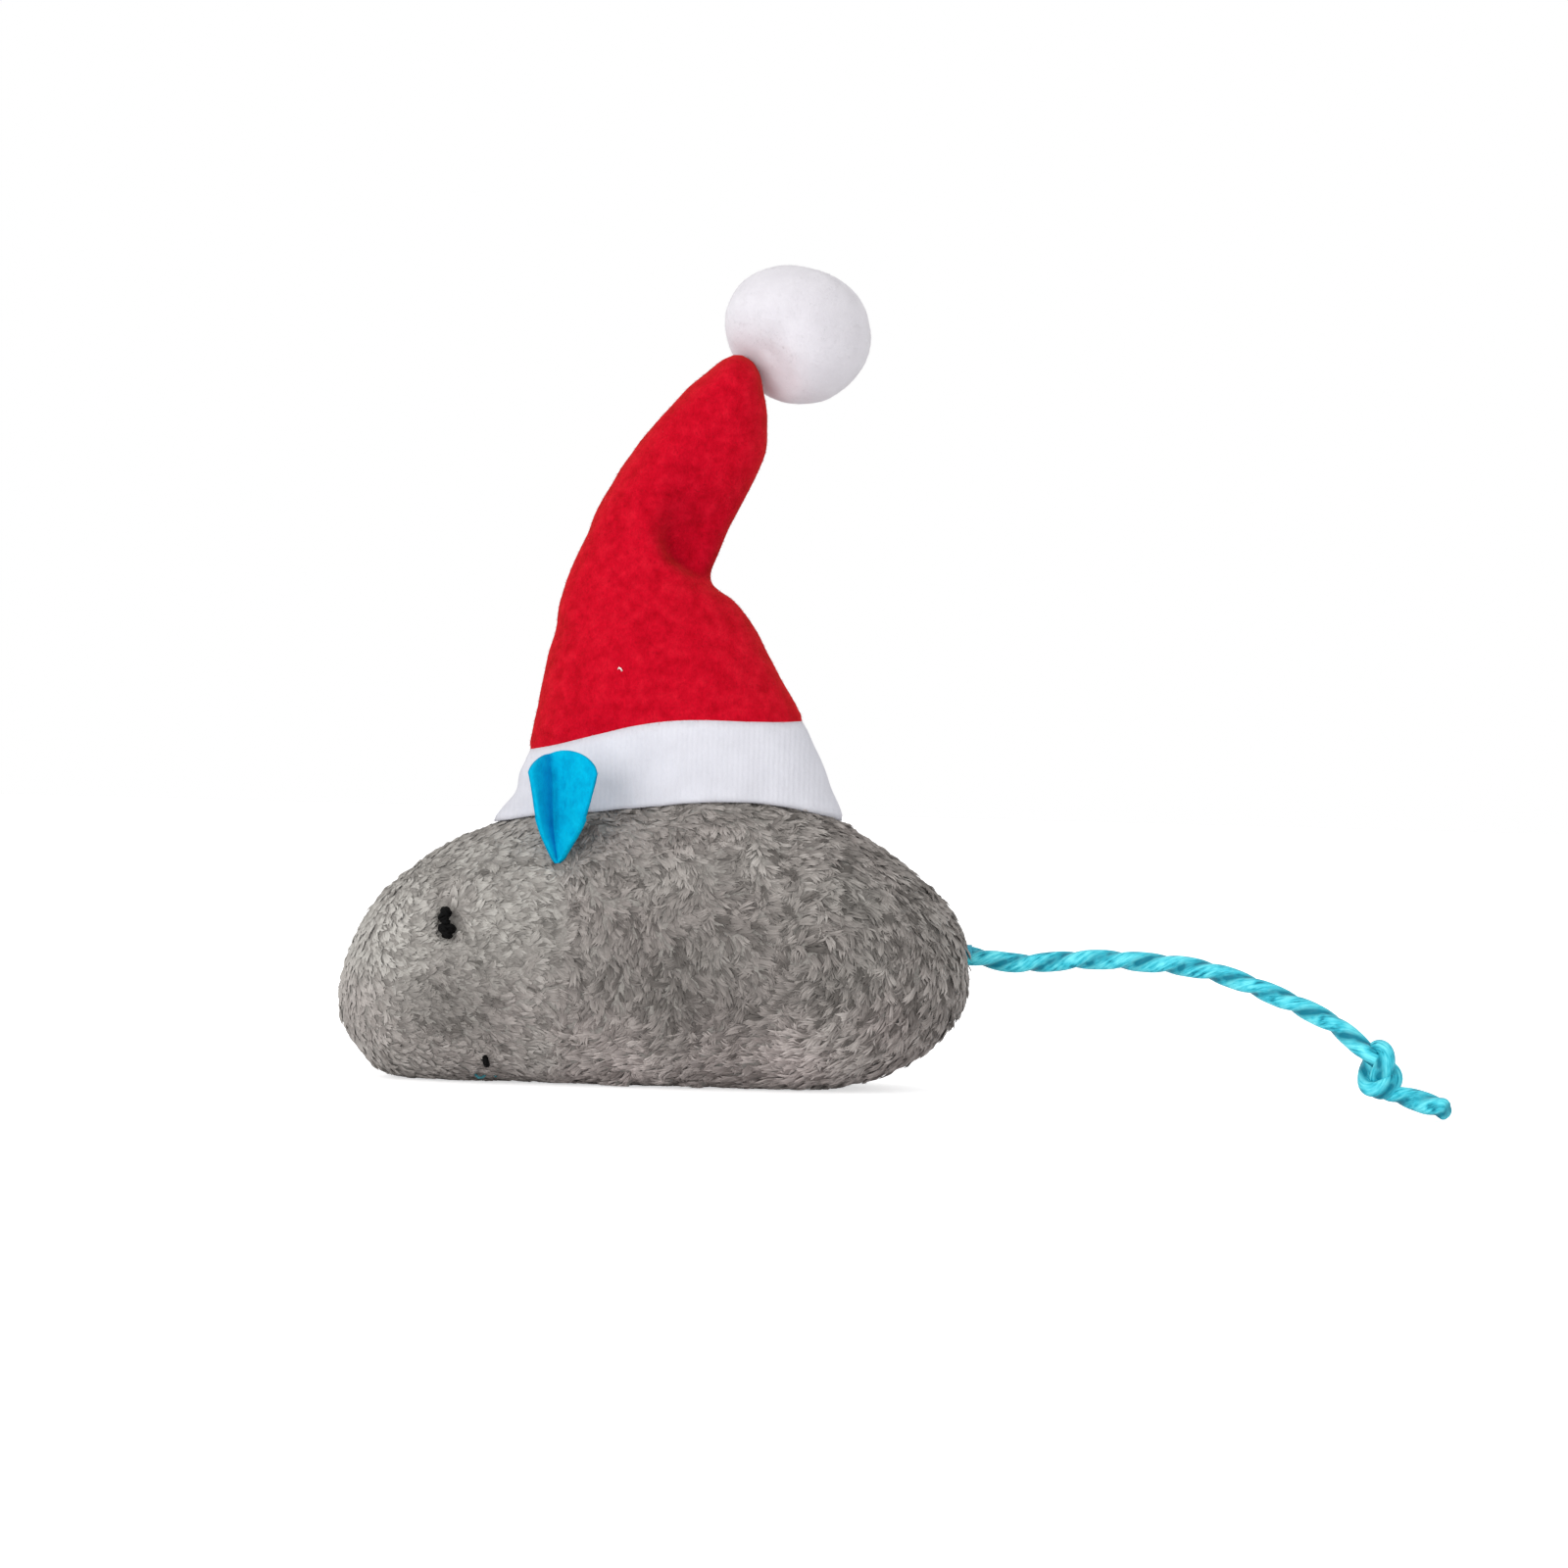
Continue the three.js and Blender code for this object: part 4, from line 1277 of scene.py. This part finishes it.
@dataclass
class FeltEar:
    """A felt leaf, folded along its front third and pinched at its root."""

    side: Side
    flat: tuple[float, float] = (16 * MM, 18 * MM)
    columns: int = 36
    rows: int = 44
    thickness: float = 0.9 * MM
    slimmer: float = 0.6 * MM
    shorter: float = 1.1 * MM
    root_shift: Triple = (-0.65 * MM, 1.6 * MM, 0.8 * MM)
    shoulder: float = 0.8
    arch: float = math.radians(74)
    fold_share: float = -0.42
    fold_depth: float = 4.2 * MM
    half_widths: tuple[float, ...] = (0.02, 0.155, 0.3, 0.445, 0.565, 0.66, 0.74, 0.8, 0.86, 0.93, 1.0)
    nap: Nap = field(default_factory=lambda: Nap(
        per_mm2=8, length=0.45 * MM, width=0.06 * MM, rise=40, droop=10, spread=70, seed=41))

    def leaf(self, name: str) -> bpy.types.Object:
        """Folds a grid into the leaf, paints shade along the fold's valley, and gives it the felt's
        thickness.

        Args:
            name: the piece's name.

        Returns:
            The leaf.
        """
        low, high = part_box(f"ear_{self.side.label}")
        sign, shift = self.side.value, self.root_shift
        half, height = (high.x - low.x) / 2 - self.slimmer, high.z - low.z - self.shorter
        foot = high.y if self.side is Side.LEFT else low.y
        root = Vector(((low.x + high.x) / 2 + shift[0], foot + sign * shift[1], low.z + shift[2]))
        shape = bmesh.new()
        bmesh.ops.create_grid(shape, x_segments=self.columns, y_segments=self.rows, size=1.0)
        valley_shade_layer = shape.verts.layers.float.new(FeltHat.FOLD)
        for vertex in shape.verts:
            turn, up = vertex.co.x * self.arch, (vertex.co.y + 1) / 2
            across = math.sin(turn) / math.sin(self.arch)
            off = across - self.fold_share
            fold = math.sqrt(off * off + 0.001) - 0.032
            fold *= self.fold_depth * min(1.0, 2.0 * up) * (1.7 if off < 0 else 0.95)
            # Painted shade along the fold's valley, spreading over the front strip and stronger toward the
            # root
            valley_shade = math.exp(-((off + 0.1) / (0.32 if off < -0.1 else 0.09)) ** 2)
            vertex[valley_shade_layer] = 0.7 * valley_shade * (1.2 - 0.5 * up)
            curl, lean = 0.6 * MM * math.sin(3.4 * up) * across, 1.2 * MM * up
            drift = 0.7 * MM * ease(up / 0.8)
            crown = (math.cos(turn) - math.cos(self.arch)) / (1 - math.cos(self.arch))
            rise = up * (self.shoulder + (1 - self.shoulder) * crown)
            place = Vector((root.x + drift + across * along_values(self.half_widths, up) * half,
                            root.y + sign * (fold - lean + curl), root.z + height * rise))
            vertex.co = place + Vector((0, sign * 0.25 * MM * noise.noise(place / (3 * MM)), 0))
        bmesh.ops.recalc_face_normals(shape, faces=shape.faces[:])
        bmesh.ops.solidify(shape, geom=shape.faces[:], thickness=self.thickness)
        bmesh.ops.recalc_face_normals(shape, faces=shape.faces[:])
        return shaped(name, shape, BLUE_FELT)

    def build(self) -> None:
        """Makes the ear and its nap."""
        def upward(places: np.ndarray, normals: np.ndarray) -> np.ndarray:
            """Fibres brushed toward the ear's top."""
            return np.tile([0.1, 0.0, 1.0], (len(places), 1))

        node, body = f"ear_{self.side.label}", f"{self.side.label}_ear"
        ear = seat(self.leaf(f"{node}_felt"), body, "blue_felt", node)
        seat(self.nap.grow(Ground.of(ear), upward).piece(f"{node}_nap", BLUE_NAP), body, "blue_felt")


@dataclass
class ThreadEye:
    """Black thread knots, made of lobes with a few wraps about each."""

    side: Side
    thread: float = 0.26 * MM
    wraps: int = 3
    tilt: float = 0.9
    stand: float = 0.5 * MM
    seed: int = 50
    # Each lobe's place along and up from the eye's middle and its radius, in millimetres
    lobes: tuple[Triple, ...] = (
        (-0.05, 1.65, 0.75), (-0.45, 0.95, 0.7), (-0.15, 0.2, 0.6), (-0.35, -1.0, 0.75), (0.6, -0.95, 0.75),
        (0.2, -1.75, 0.7))

    def knot(self, shape: bmesh.types.BMesh, centre: Vector, radius: float, seed: int) -> None:
        """Adds one knot.

        Args:
            shape: the bmesh that it goes into.
            centre: its middle.
            radius: its radius.
            seed: turns its wraps.
        """
        draw = np.random.default_rng(seed)
        place = Matrix.Translation(centre)
        bmesh.ops.create_icosphere(shape, subdivisions=3, radius=radius,
                                   matrix=place @ Matrix.Diagonal((1.0, 0.8, 1.15, 1.0)))
        section = Matrix.Translation((radius, 0, 0)) @ Matrix.Rotation(math.pi / 2, 4, "X")
        for _ in range(self.wraps):
            wrap = bmesh.new()
            bmesh.ops.create_circle(wrap, segments=8, radius=self.thread, matrix=section)
            bmesh.ops.spin(wrap, geom=wrap.verts[:] + wrap.edges[:], cent=(0, 0, 0), axis=(0, 0, 1),
                           angle=2 * math.pi, steps=20, use_merge=True)
            bmesh.ops.remove_doubles(wrap, verts=wrap.verts[:], dist=1e-7)
            turns = [Matrix.Rotation(draw.uniform(-self.tilt, self.tilt), 4, axis) for axis in "XY"]
            bmesh.ops.transform(wrap, verts=wrap.verts[:], matrix=place @ turns[0] @ turns[1])
            bmesh.ops.recalc_face_normals(wrap, faces=wrap.faces[:])
            mesh = bpy.data.meshes.new("wrap")
            wrap.to_mesh(mesh)
            wrap.free()
            shape.from_mesh(mesh)
            bpy.data.meshes.remove(mesh)

    def build(self) -> None:
        """Makes the eye's knots."""
        node = f"eye_{self.side.label}"
        middle = self.side.middle("eye") + Vector((0, self.side.value * self.stand, 0))
        shape = bmesh.new()
        for k, (x, z, radius) in enumerate(self.lobes):
            self.knot(shape, middle + Vector((x, 0, z)) * MM, radius * MM, self.seed + k)
        seat(shaped(f"{node}_knots", shape, BLACK_THREAD), "root", "black_thread", node)


@dataclass
class StrayThreads:
    """Loose bits that the making left: a dark thread end, a seam thread at the belly and lint on the felt.

    Each bit has places along the toy, up it and off the surface under it, in millimetres.
    """

    thickness: float = 0.22 * MM
    sides: int = 8
    end: tuple[Triple, ...] = ((-25.05, 3.4, 0.1), (-24.9, 3.8, 0.8), (-25.0, 4.25, 0.9), (-25.25, 4.6, 0.1))
    lint: tuple[Triple, ...] = ((-6.4, 65.1, 0.1), (-6.2, 65.25, 0.4), (-5.95, 65.1, 0.4), (-5.8, 64.8, 0.1))
    seam: tuple[Triple, ...] = tuple(
        (-27 + 0.55 * k, 1.6 - 0.03 * k, 0.2 + 0.6 * math.sin(k * 1.1)) for k in range(7))

    def strand(self, name: str, under: bpy.types.Object, bits: Sequence[Triple], finish: Finish,
               thick: float = 1.0) -> bpy.types.Object:
        """Makes a short thread that lies on the mouse's left side of a piece.

        Args:
            name: the thread's name.
            under: the piece that it lies on.
            bits: its places.
            finish: its finish.
            thick: factor on its thickness.

        Returns:
            The thread.
        """
        tree = tree_of(under)
        points = []
        for x, z, over in bits:
            spot, normal, _, _ = tree.ray_cast(Vector((x * MM, -1, z * MM)), Vector((0, 1, 0)))
            points.append(spot + normal * over * MM)
        turns = [2 * math.pi * k / self.sides for k in range(self.sides)]
        circle = [Vector((-math.sin(turn), math.cos(turn), 0)) * self.thickness * thick for turn in turns]
        rows = []
        for place, before, after in zip(points, points[:1] + points, points[1:] + points[-1:]):
            across = (after - before).to_track_quat("Z", "Y")
            rows.append([place + across @ spoke for spoke in circle])
        return bridged(name, rows, finish)

    def build(self, skin: bpy.types.Object, felt: bpy.types.Object) -> None:
        """Makes the bits.

        Args:
            skin: the body's skin.
            felt: the hat's cone.
        """
        seat(self.strand("thread_end", skin, self.end, BLACK_THREAD, 2.2), "root", "black_thread")
        seat(self.strand("seam_thread", skin, self.seam, TEAL_THREAD), "root", "grey_plush")
        seat(self.strand("lint", felt, self.lint, FIBRE, 0.6), "root", "white_fibre")


@dataclass
class CordTail:
    """The tail: a two-ply twisted cord with an overhand knot near its cut end on the floor."""

    # Attribute that places the painted shade in the grooves
    GROOVE = "groove"
    LAY = "lay"

    diameter: float = 3.2 * MM
    lay_length: float = 15.0 * MM
    groove_depth: float = 0.3
    groove_width: float = 0.56
    loosening: float = 0.14
    loose_end: float = 9.0 * MM
    pinch: float = 0.28
    pinch_reach: float = 0.8 * MM
    sides: int = 28
    step: float = 0.4 * MM
    exit: Triple = (0.0503, 0.0, 0.0216)
    route: tuple[Triple, ...] = (
        (0.0465, 0, 0.0216), (0.05065, 0, 0.0216), (0.0517, 0, 0.0215), (0.055, -0.0006, 0.0205),
        (0.0593, -0.0017, 0.0205), (0.0683, -0.0049, 0.0216), (0.0773, -0.009, 0.0215),
        (0.086, -0.0138, 0.0208), (0.0946, -0.0193, 0.018), (0.103, -0.0253, 0.0144),
        (0.1063, -0.0279, 0.0124))
    knot_centre: Triple = (0.1111, -0.0318, 0.0072)
    knot: tuple[Triple, ...] = (
        (-0.0032, 0.0017, 0.0033), (-0.0011, 0.0006, 0.0016), (0.0005, 0.0003, -0.0002),
        (0.001, -0.0007, -0.0022), (0.0003, -0.002, -0.0041), (-0.001, -0.0017, -0.0039),
        (-0.0017, 0.0003, -0.0015), (-0.0018, 0.0027, 0.0012), (-0.0007, 0.0027, 0.0036),
        (0.0008, 0.0003, 0.0036), (0.0007, -0.0023, 0.001), (0.0001, -0.0016, -0.0015),
        (0.0006, 0.0008, -0.0035), (0.0024, -0.0012, -0.0037))
    stub: tuple[Triple, ...] = (
        (0.1154, -0.0354, 0.0033), (0.117, -0.0368, 0.0026), (0.1185, -0.0383, 0.00205),
        (0.12, -0.0398, 0.00185))
    span_steps: int = 24
    squeeze: float = 0.6
    crossing_run: float = 1.7
    push: float = 0.12
    straighten: float = 0.3
    settling: int = 160

    def settled(self, line: np.ndarray) -> np.ndarray:
        """Lets the cord push itself apart where it crosses itself, as a pulled knot does.

        Args:
            line: evenly spaced places along the cord.

        Returns:
            The places, with their ends unmoved.
        """
        line = line.copy()
        run = np.arange(len(line)) * self.step
        apart = np.abs(run[:, None] - run[None]) > self.crossing_run * self.diameter
        for _ in range(self.settling):
            gaps = line[:, None] - line[None]
            far = np.linalg.norm(gaps, axis=2) + 1e-9
            short = np.where(apart, (self.squeeze * self.diameter - far).clip(0, None), 0.0)
            line[1:-1] += self.push * (gaps / far[:, :, None] * short[:, :, None]).sum(axis=1)[1:-1]
            line[1:-1] += self.straighten * ((line[:-2] + line[2:]) / 2 - line[1:-1])
        return line

    def centreline(self) -> list[Vector]:
        """Follows the route, the knot and the stub on one smooth curve above the floor.

        Returns:
            Evenly spaced places along the whole cord.
        """
        knot = [tuple(a + b for a, b in zip(self.knot_centre, turn)) for turn in self.knot]
        points = [*self.route, *knot, *self.stub]
        count = self.span_steps * (len(points) - 1)
        line = np.array([[along_values(axis, k / count) for axis in zip(*points)] for k in range(count + 1)])
        floor = self.diameter / 2 + 0.05 * MM
        line[:, 2] = line[:, 2].clip(floor, None)
        run = np.concatenate([[0], np.cumsum(np.linalg.norm(np.diff(line, axis=0), axis=1))])
        places = np.linspace(0, run[-1], int(run[-1] / self.step))
        even = self.settled(np.stack([np.interp(places, run, line[:, k]) for k in range(3)], axis=1))
        even[:, 2] = even[:, 2].clip(floor, None)
        return [Vector(place) for place in even]

    def build(self) -> None:
        """Twists the cord along its centreline."""
        path = self.centreline()
        across = (path[1] - path[0]).orthogonal().normalized()
        # The loops go clockwise, so that the diagonals of their faces run along the plies
        angles = [-2 * math.pi * j / self.sides for j in range(self.sides)]
        dips = [math.exp(-(math.sin(angle) / self.groove_width) ** 2) for angle in angles]
        rows, lays = [], []
        run = 0.0
        for i, place in enumerate(path):
            onward = (path[min(i + 1, len(path) - 1)] - path[max(i - 1, 0)]).normalized()
            across = (across - onward * across.dot(onward)).normalized()
            up = onward.cross(across)
            run += (place - path[i - 1]).length if i else 0.0
            left = (len(path) - 1 - i) * self.step
            girth = self.diameter / 2 * (1 + self.loosening * ease(1 - left / self.loose_end))
            girth *= 1 - self.pinch * (1 - math.sqrt(min(1.0, left / self.pinch_reach)))
            row = []
            for j, (angle, dip) in enumerate(zip(angles, dips)):
                turn = angle - 2 * math.pi * run / self.lay_length
                spoke = across * math.cos(turn) + up * math.sin(turn)
                row.append(place + spoke * girth * (1 - self.groove_depth * dip))
                lays.append((run / self.diameter, 2 * abs(j / self.sides - 0.5)))
            rows.append(row)
        # The loops are bridged on a straight tube, where each faces the next, and then take their places
        straight = [[Vector((math.cos(angle), math.sin(angle), i)) for angle in angles]
                    for i in range(len(rows))]
        tail = bridged("tail", straight, TURQUOISE_CORD)
        mesh = tail.data
        mesh.vertices.foreach_set("co", np.array(rows).ravel())
        mesh.attributes.new(self.GROOVE, "FLOAT", "POINT").data.foreach_set("value", dips * len(rows))
        corners = np.empty(len(mesh.loops), np.int64)
        mesh.loops.foreach_get("vertex_index", corners)
        mesh.uv_layers.new(name=self.LAY).data.foreach_set("uv", np.array(lays)[corners].ravel())
        mesh.update()
        seat(tail, "root", "turquoise_cord", "tail_cord", "tail_knot", "tail_stub")
        LOG.info("tail: %.1f mm long", run / MM)


@dataclass
class Studio:
    """The camera, the plain floor and the soft lamps."""

    target: Triple = (19.9 * MM, 0.0, 47.85 * MM)
    roll: float = math.radians(1.5)
    distance: float = 689 * MM
    lens: float = 100.0
    sensor: float = 36.0
    daylight: float = 0.77
    floor_glow: float = 0.6
    floor_size: float = 6.0
    # Each lamp's name, place, power in watts and width
    lamps: tuple[tuple[str, Triple, float, float], ...] = (
        ("key", (-0.62, -0.75, 0.28), 4.3, 0.55), ("fill", (0.25, -0.85, 0.05), 2.8, 0.5),
        ("top", (0.05, 0.15, 0.9), 0.7, 0.6))

    def place(self, name: str, data: bpy.types.ID, spot: Vector, turn: Matrix) -> bpy.types.Object:
        """Puts a camera or a lamp into the scene.

        Args:
            name: its name.
            data: the camera or lamp.
            spot: where it stands.
            turn: which way it faces.

        Returns:
            The object.
        """
        thing = bpy.data.objects.new(name, data)
        thing.location, thing.rotation_euler = spot, turn.to_euler()
        bpy.context.scene.collection.objects.link(thing)
        return thing

    def camera(self) -> None:
        """Places the camera level with the brim, square to the mouse's left side and slightly rolled."""
        data = bpy.data.cameras.new("camera")
        data.lens, data.sensor_width = self.lens, self.sensor
        data.clip_start, data.clip_end = 0.01, 20.0
        turn = Matrix.Rotation(-self.roll, 3, "Y") @ Matrix.Rotation(math.pi / 2, 3, "X")
        spot = Vector(self.target) - Vector((0, self.distance, 0))
        bpy.context.scene.camera = self.place("camera", data, spot, turn)

    def floor(self) -> None:
        """Makes the white floor, which glows to the camera and keeps the toy's shadow."""
        shape = bmesh.new()
        bmesh.ops.create_grid(shape, x_segments=1, y_segments=1, size=self.floor_size)
        floor = shaped("floor", shape)
        sheet = NodeSheet(bpy.data.materials.new("white floor"))
        seen = sheet.add("LightPath").outputs["Is Camera Ray"]
        power = sheet.add("Math", {0: seen, 1: self.floor_glow}, operation="MULTIPLY").outputs[0]
        glow = sheet.add("Emission", {"Color": grey(1.0), "Strength": power}).outputs[0]
        paint = sheet.feed(sheet.tree.nodes["Principled BSDF"], {"Base Color": (0.92, 0.92, 0.93, 1),
                                                                 "Roughness": 0.9}).outputs[0]
        whole = sheet.add("AddShader", {0: paint, 1: glow}).outputs[0]
        sheet.feed(sheet.tree.nodes["Material Output"], {"Surface": whole})
        floor.data.materials.append(sheet.owner)

    def daylit(self) -> None:
        """Makes the surroundings white to the camera and in reflections, and dimmer as light."""
        world = bpy.data.worlds.new("daylight")
        bpy.context.scene.world = world
        sheet = NodeSheet(world)
        rays = sheet.add("LightPath").outputs
        plain = sheet.add("Math", {0: rays["Is Camera Ray"], 1: rays["Is Glossy Ray"]}, operation="MAXIMUM")
        strength = sheet.add("MapRange", {"Value": plain.outputs[0], "To Min": self.daylight, "To Max": 1.0})
        sheet.feed(sheet.tree.nodes["Background"],
                   {"Color": grey(1.0), "Strength": strength.outputs["Result"]})

    def build(self) -> None:
        """Sets up the view."""
        bpy.context.scene.view_settings.view_transform = "Standard"
        self.camera()
        self.floor()
        self.daylit()
        for name, spot, power, size in self.lamps:
            data = bpy.data.lights.new(name, "AREA")
            data.energy, data.size = power, size
            aim = Vector(self.target) - Vector(spot)
            self.place(name, data, Vector(spot), aim.to_track_quat("-Z", "Y"))


def main() -> None:
    """Builds the toy's looks around the frame."""
    logging.basicConfig(level=logging.INFO, format="%(message)s")
    Studio().build()
    CordTail().build()
    skin = PlushBody().build()
    felt = FeltHat().build(skin)
    StrayThreads().build(skin, felt)
    FleecePompom().build()
    for side in Side:
        FeltEar(side).build()
        ThreadEye(side).build()
    inner = {"stuffing": FIBRE, "catnip_pouch": MUSLIN, "eye_thread": BLACK_THREAD, "tail_anchor": INNER_CORD}
    for node, finish in inner.items():
        dress(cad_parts[node].data, finish)
        LOG.info("%s: inside, in %s", node, finish.name)


if __name__ == "__main__":
    main()
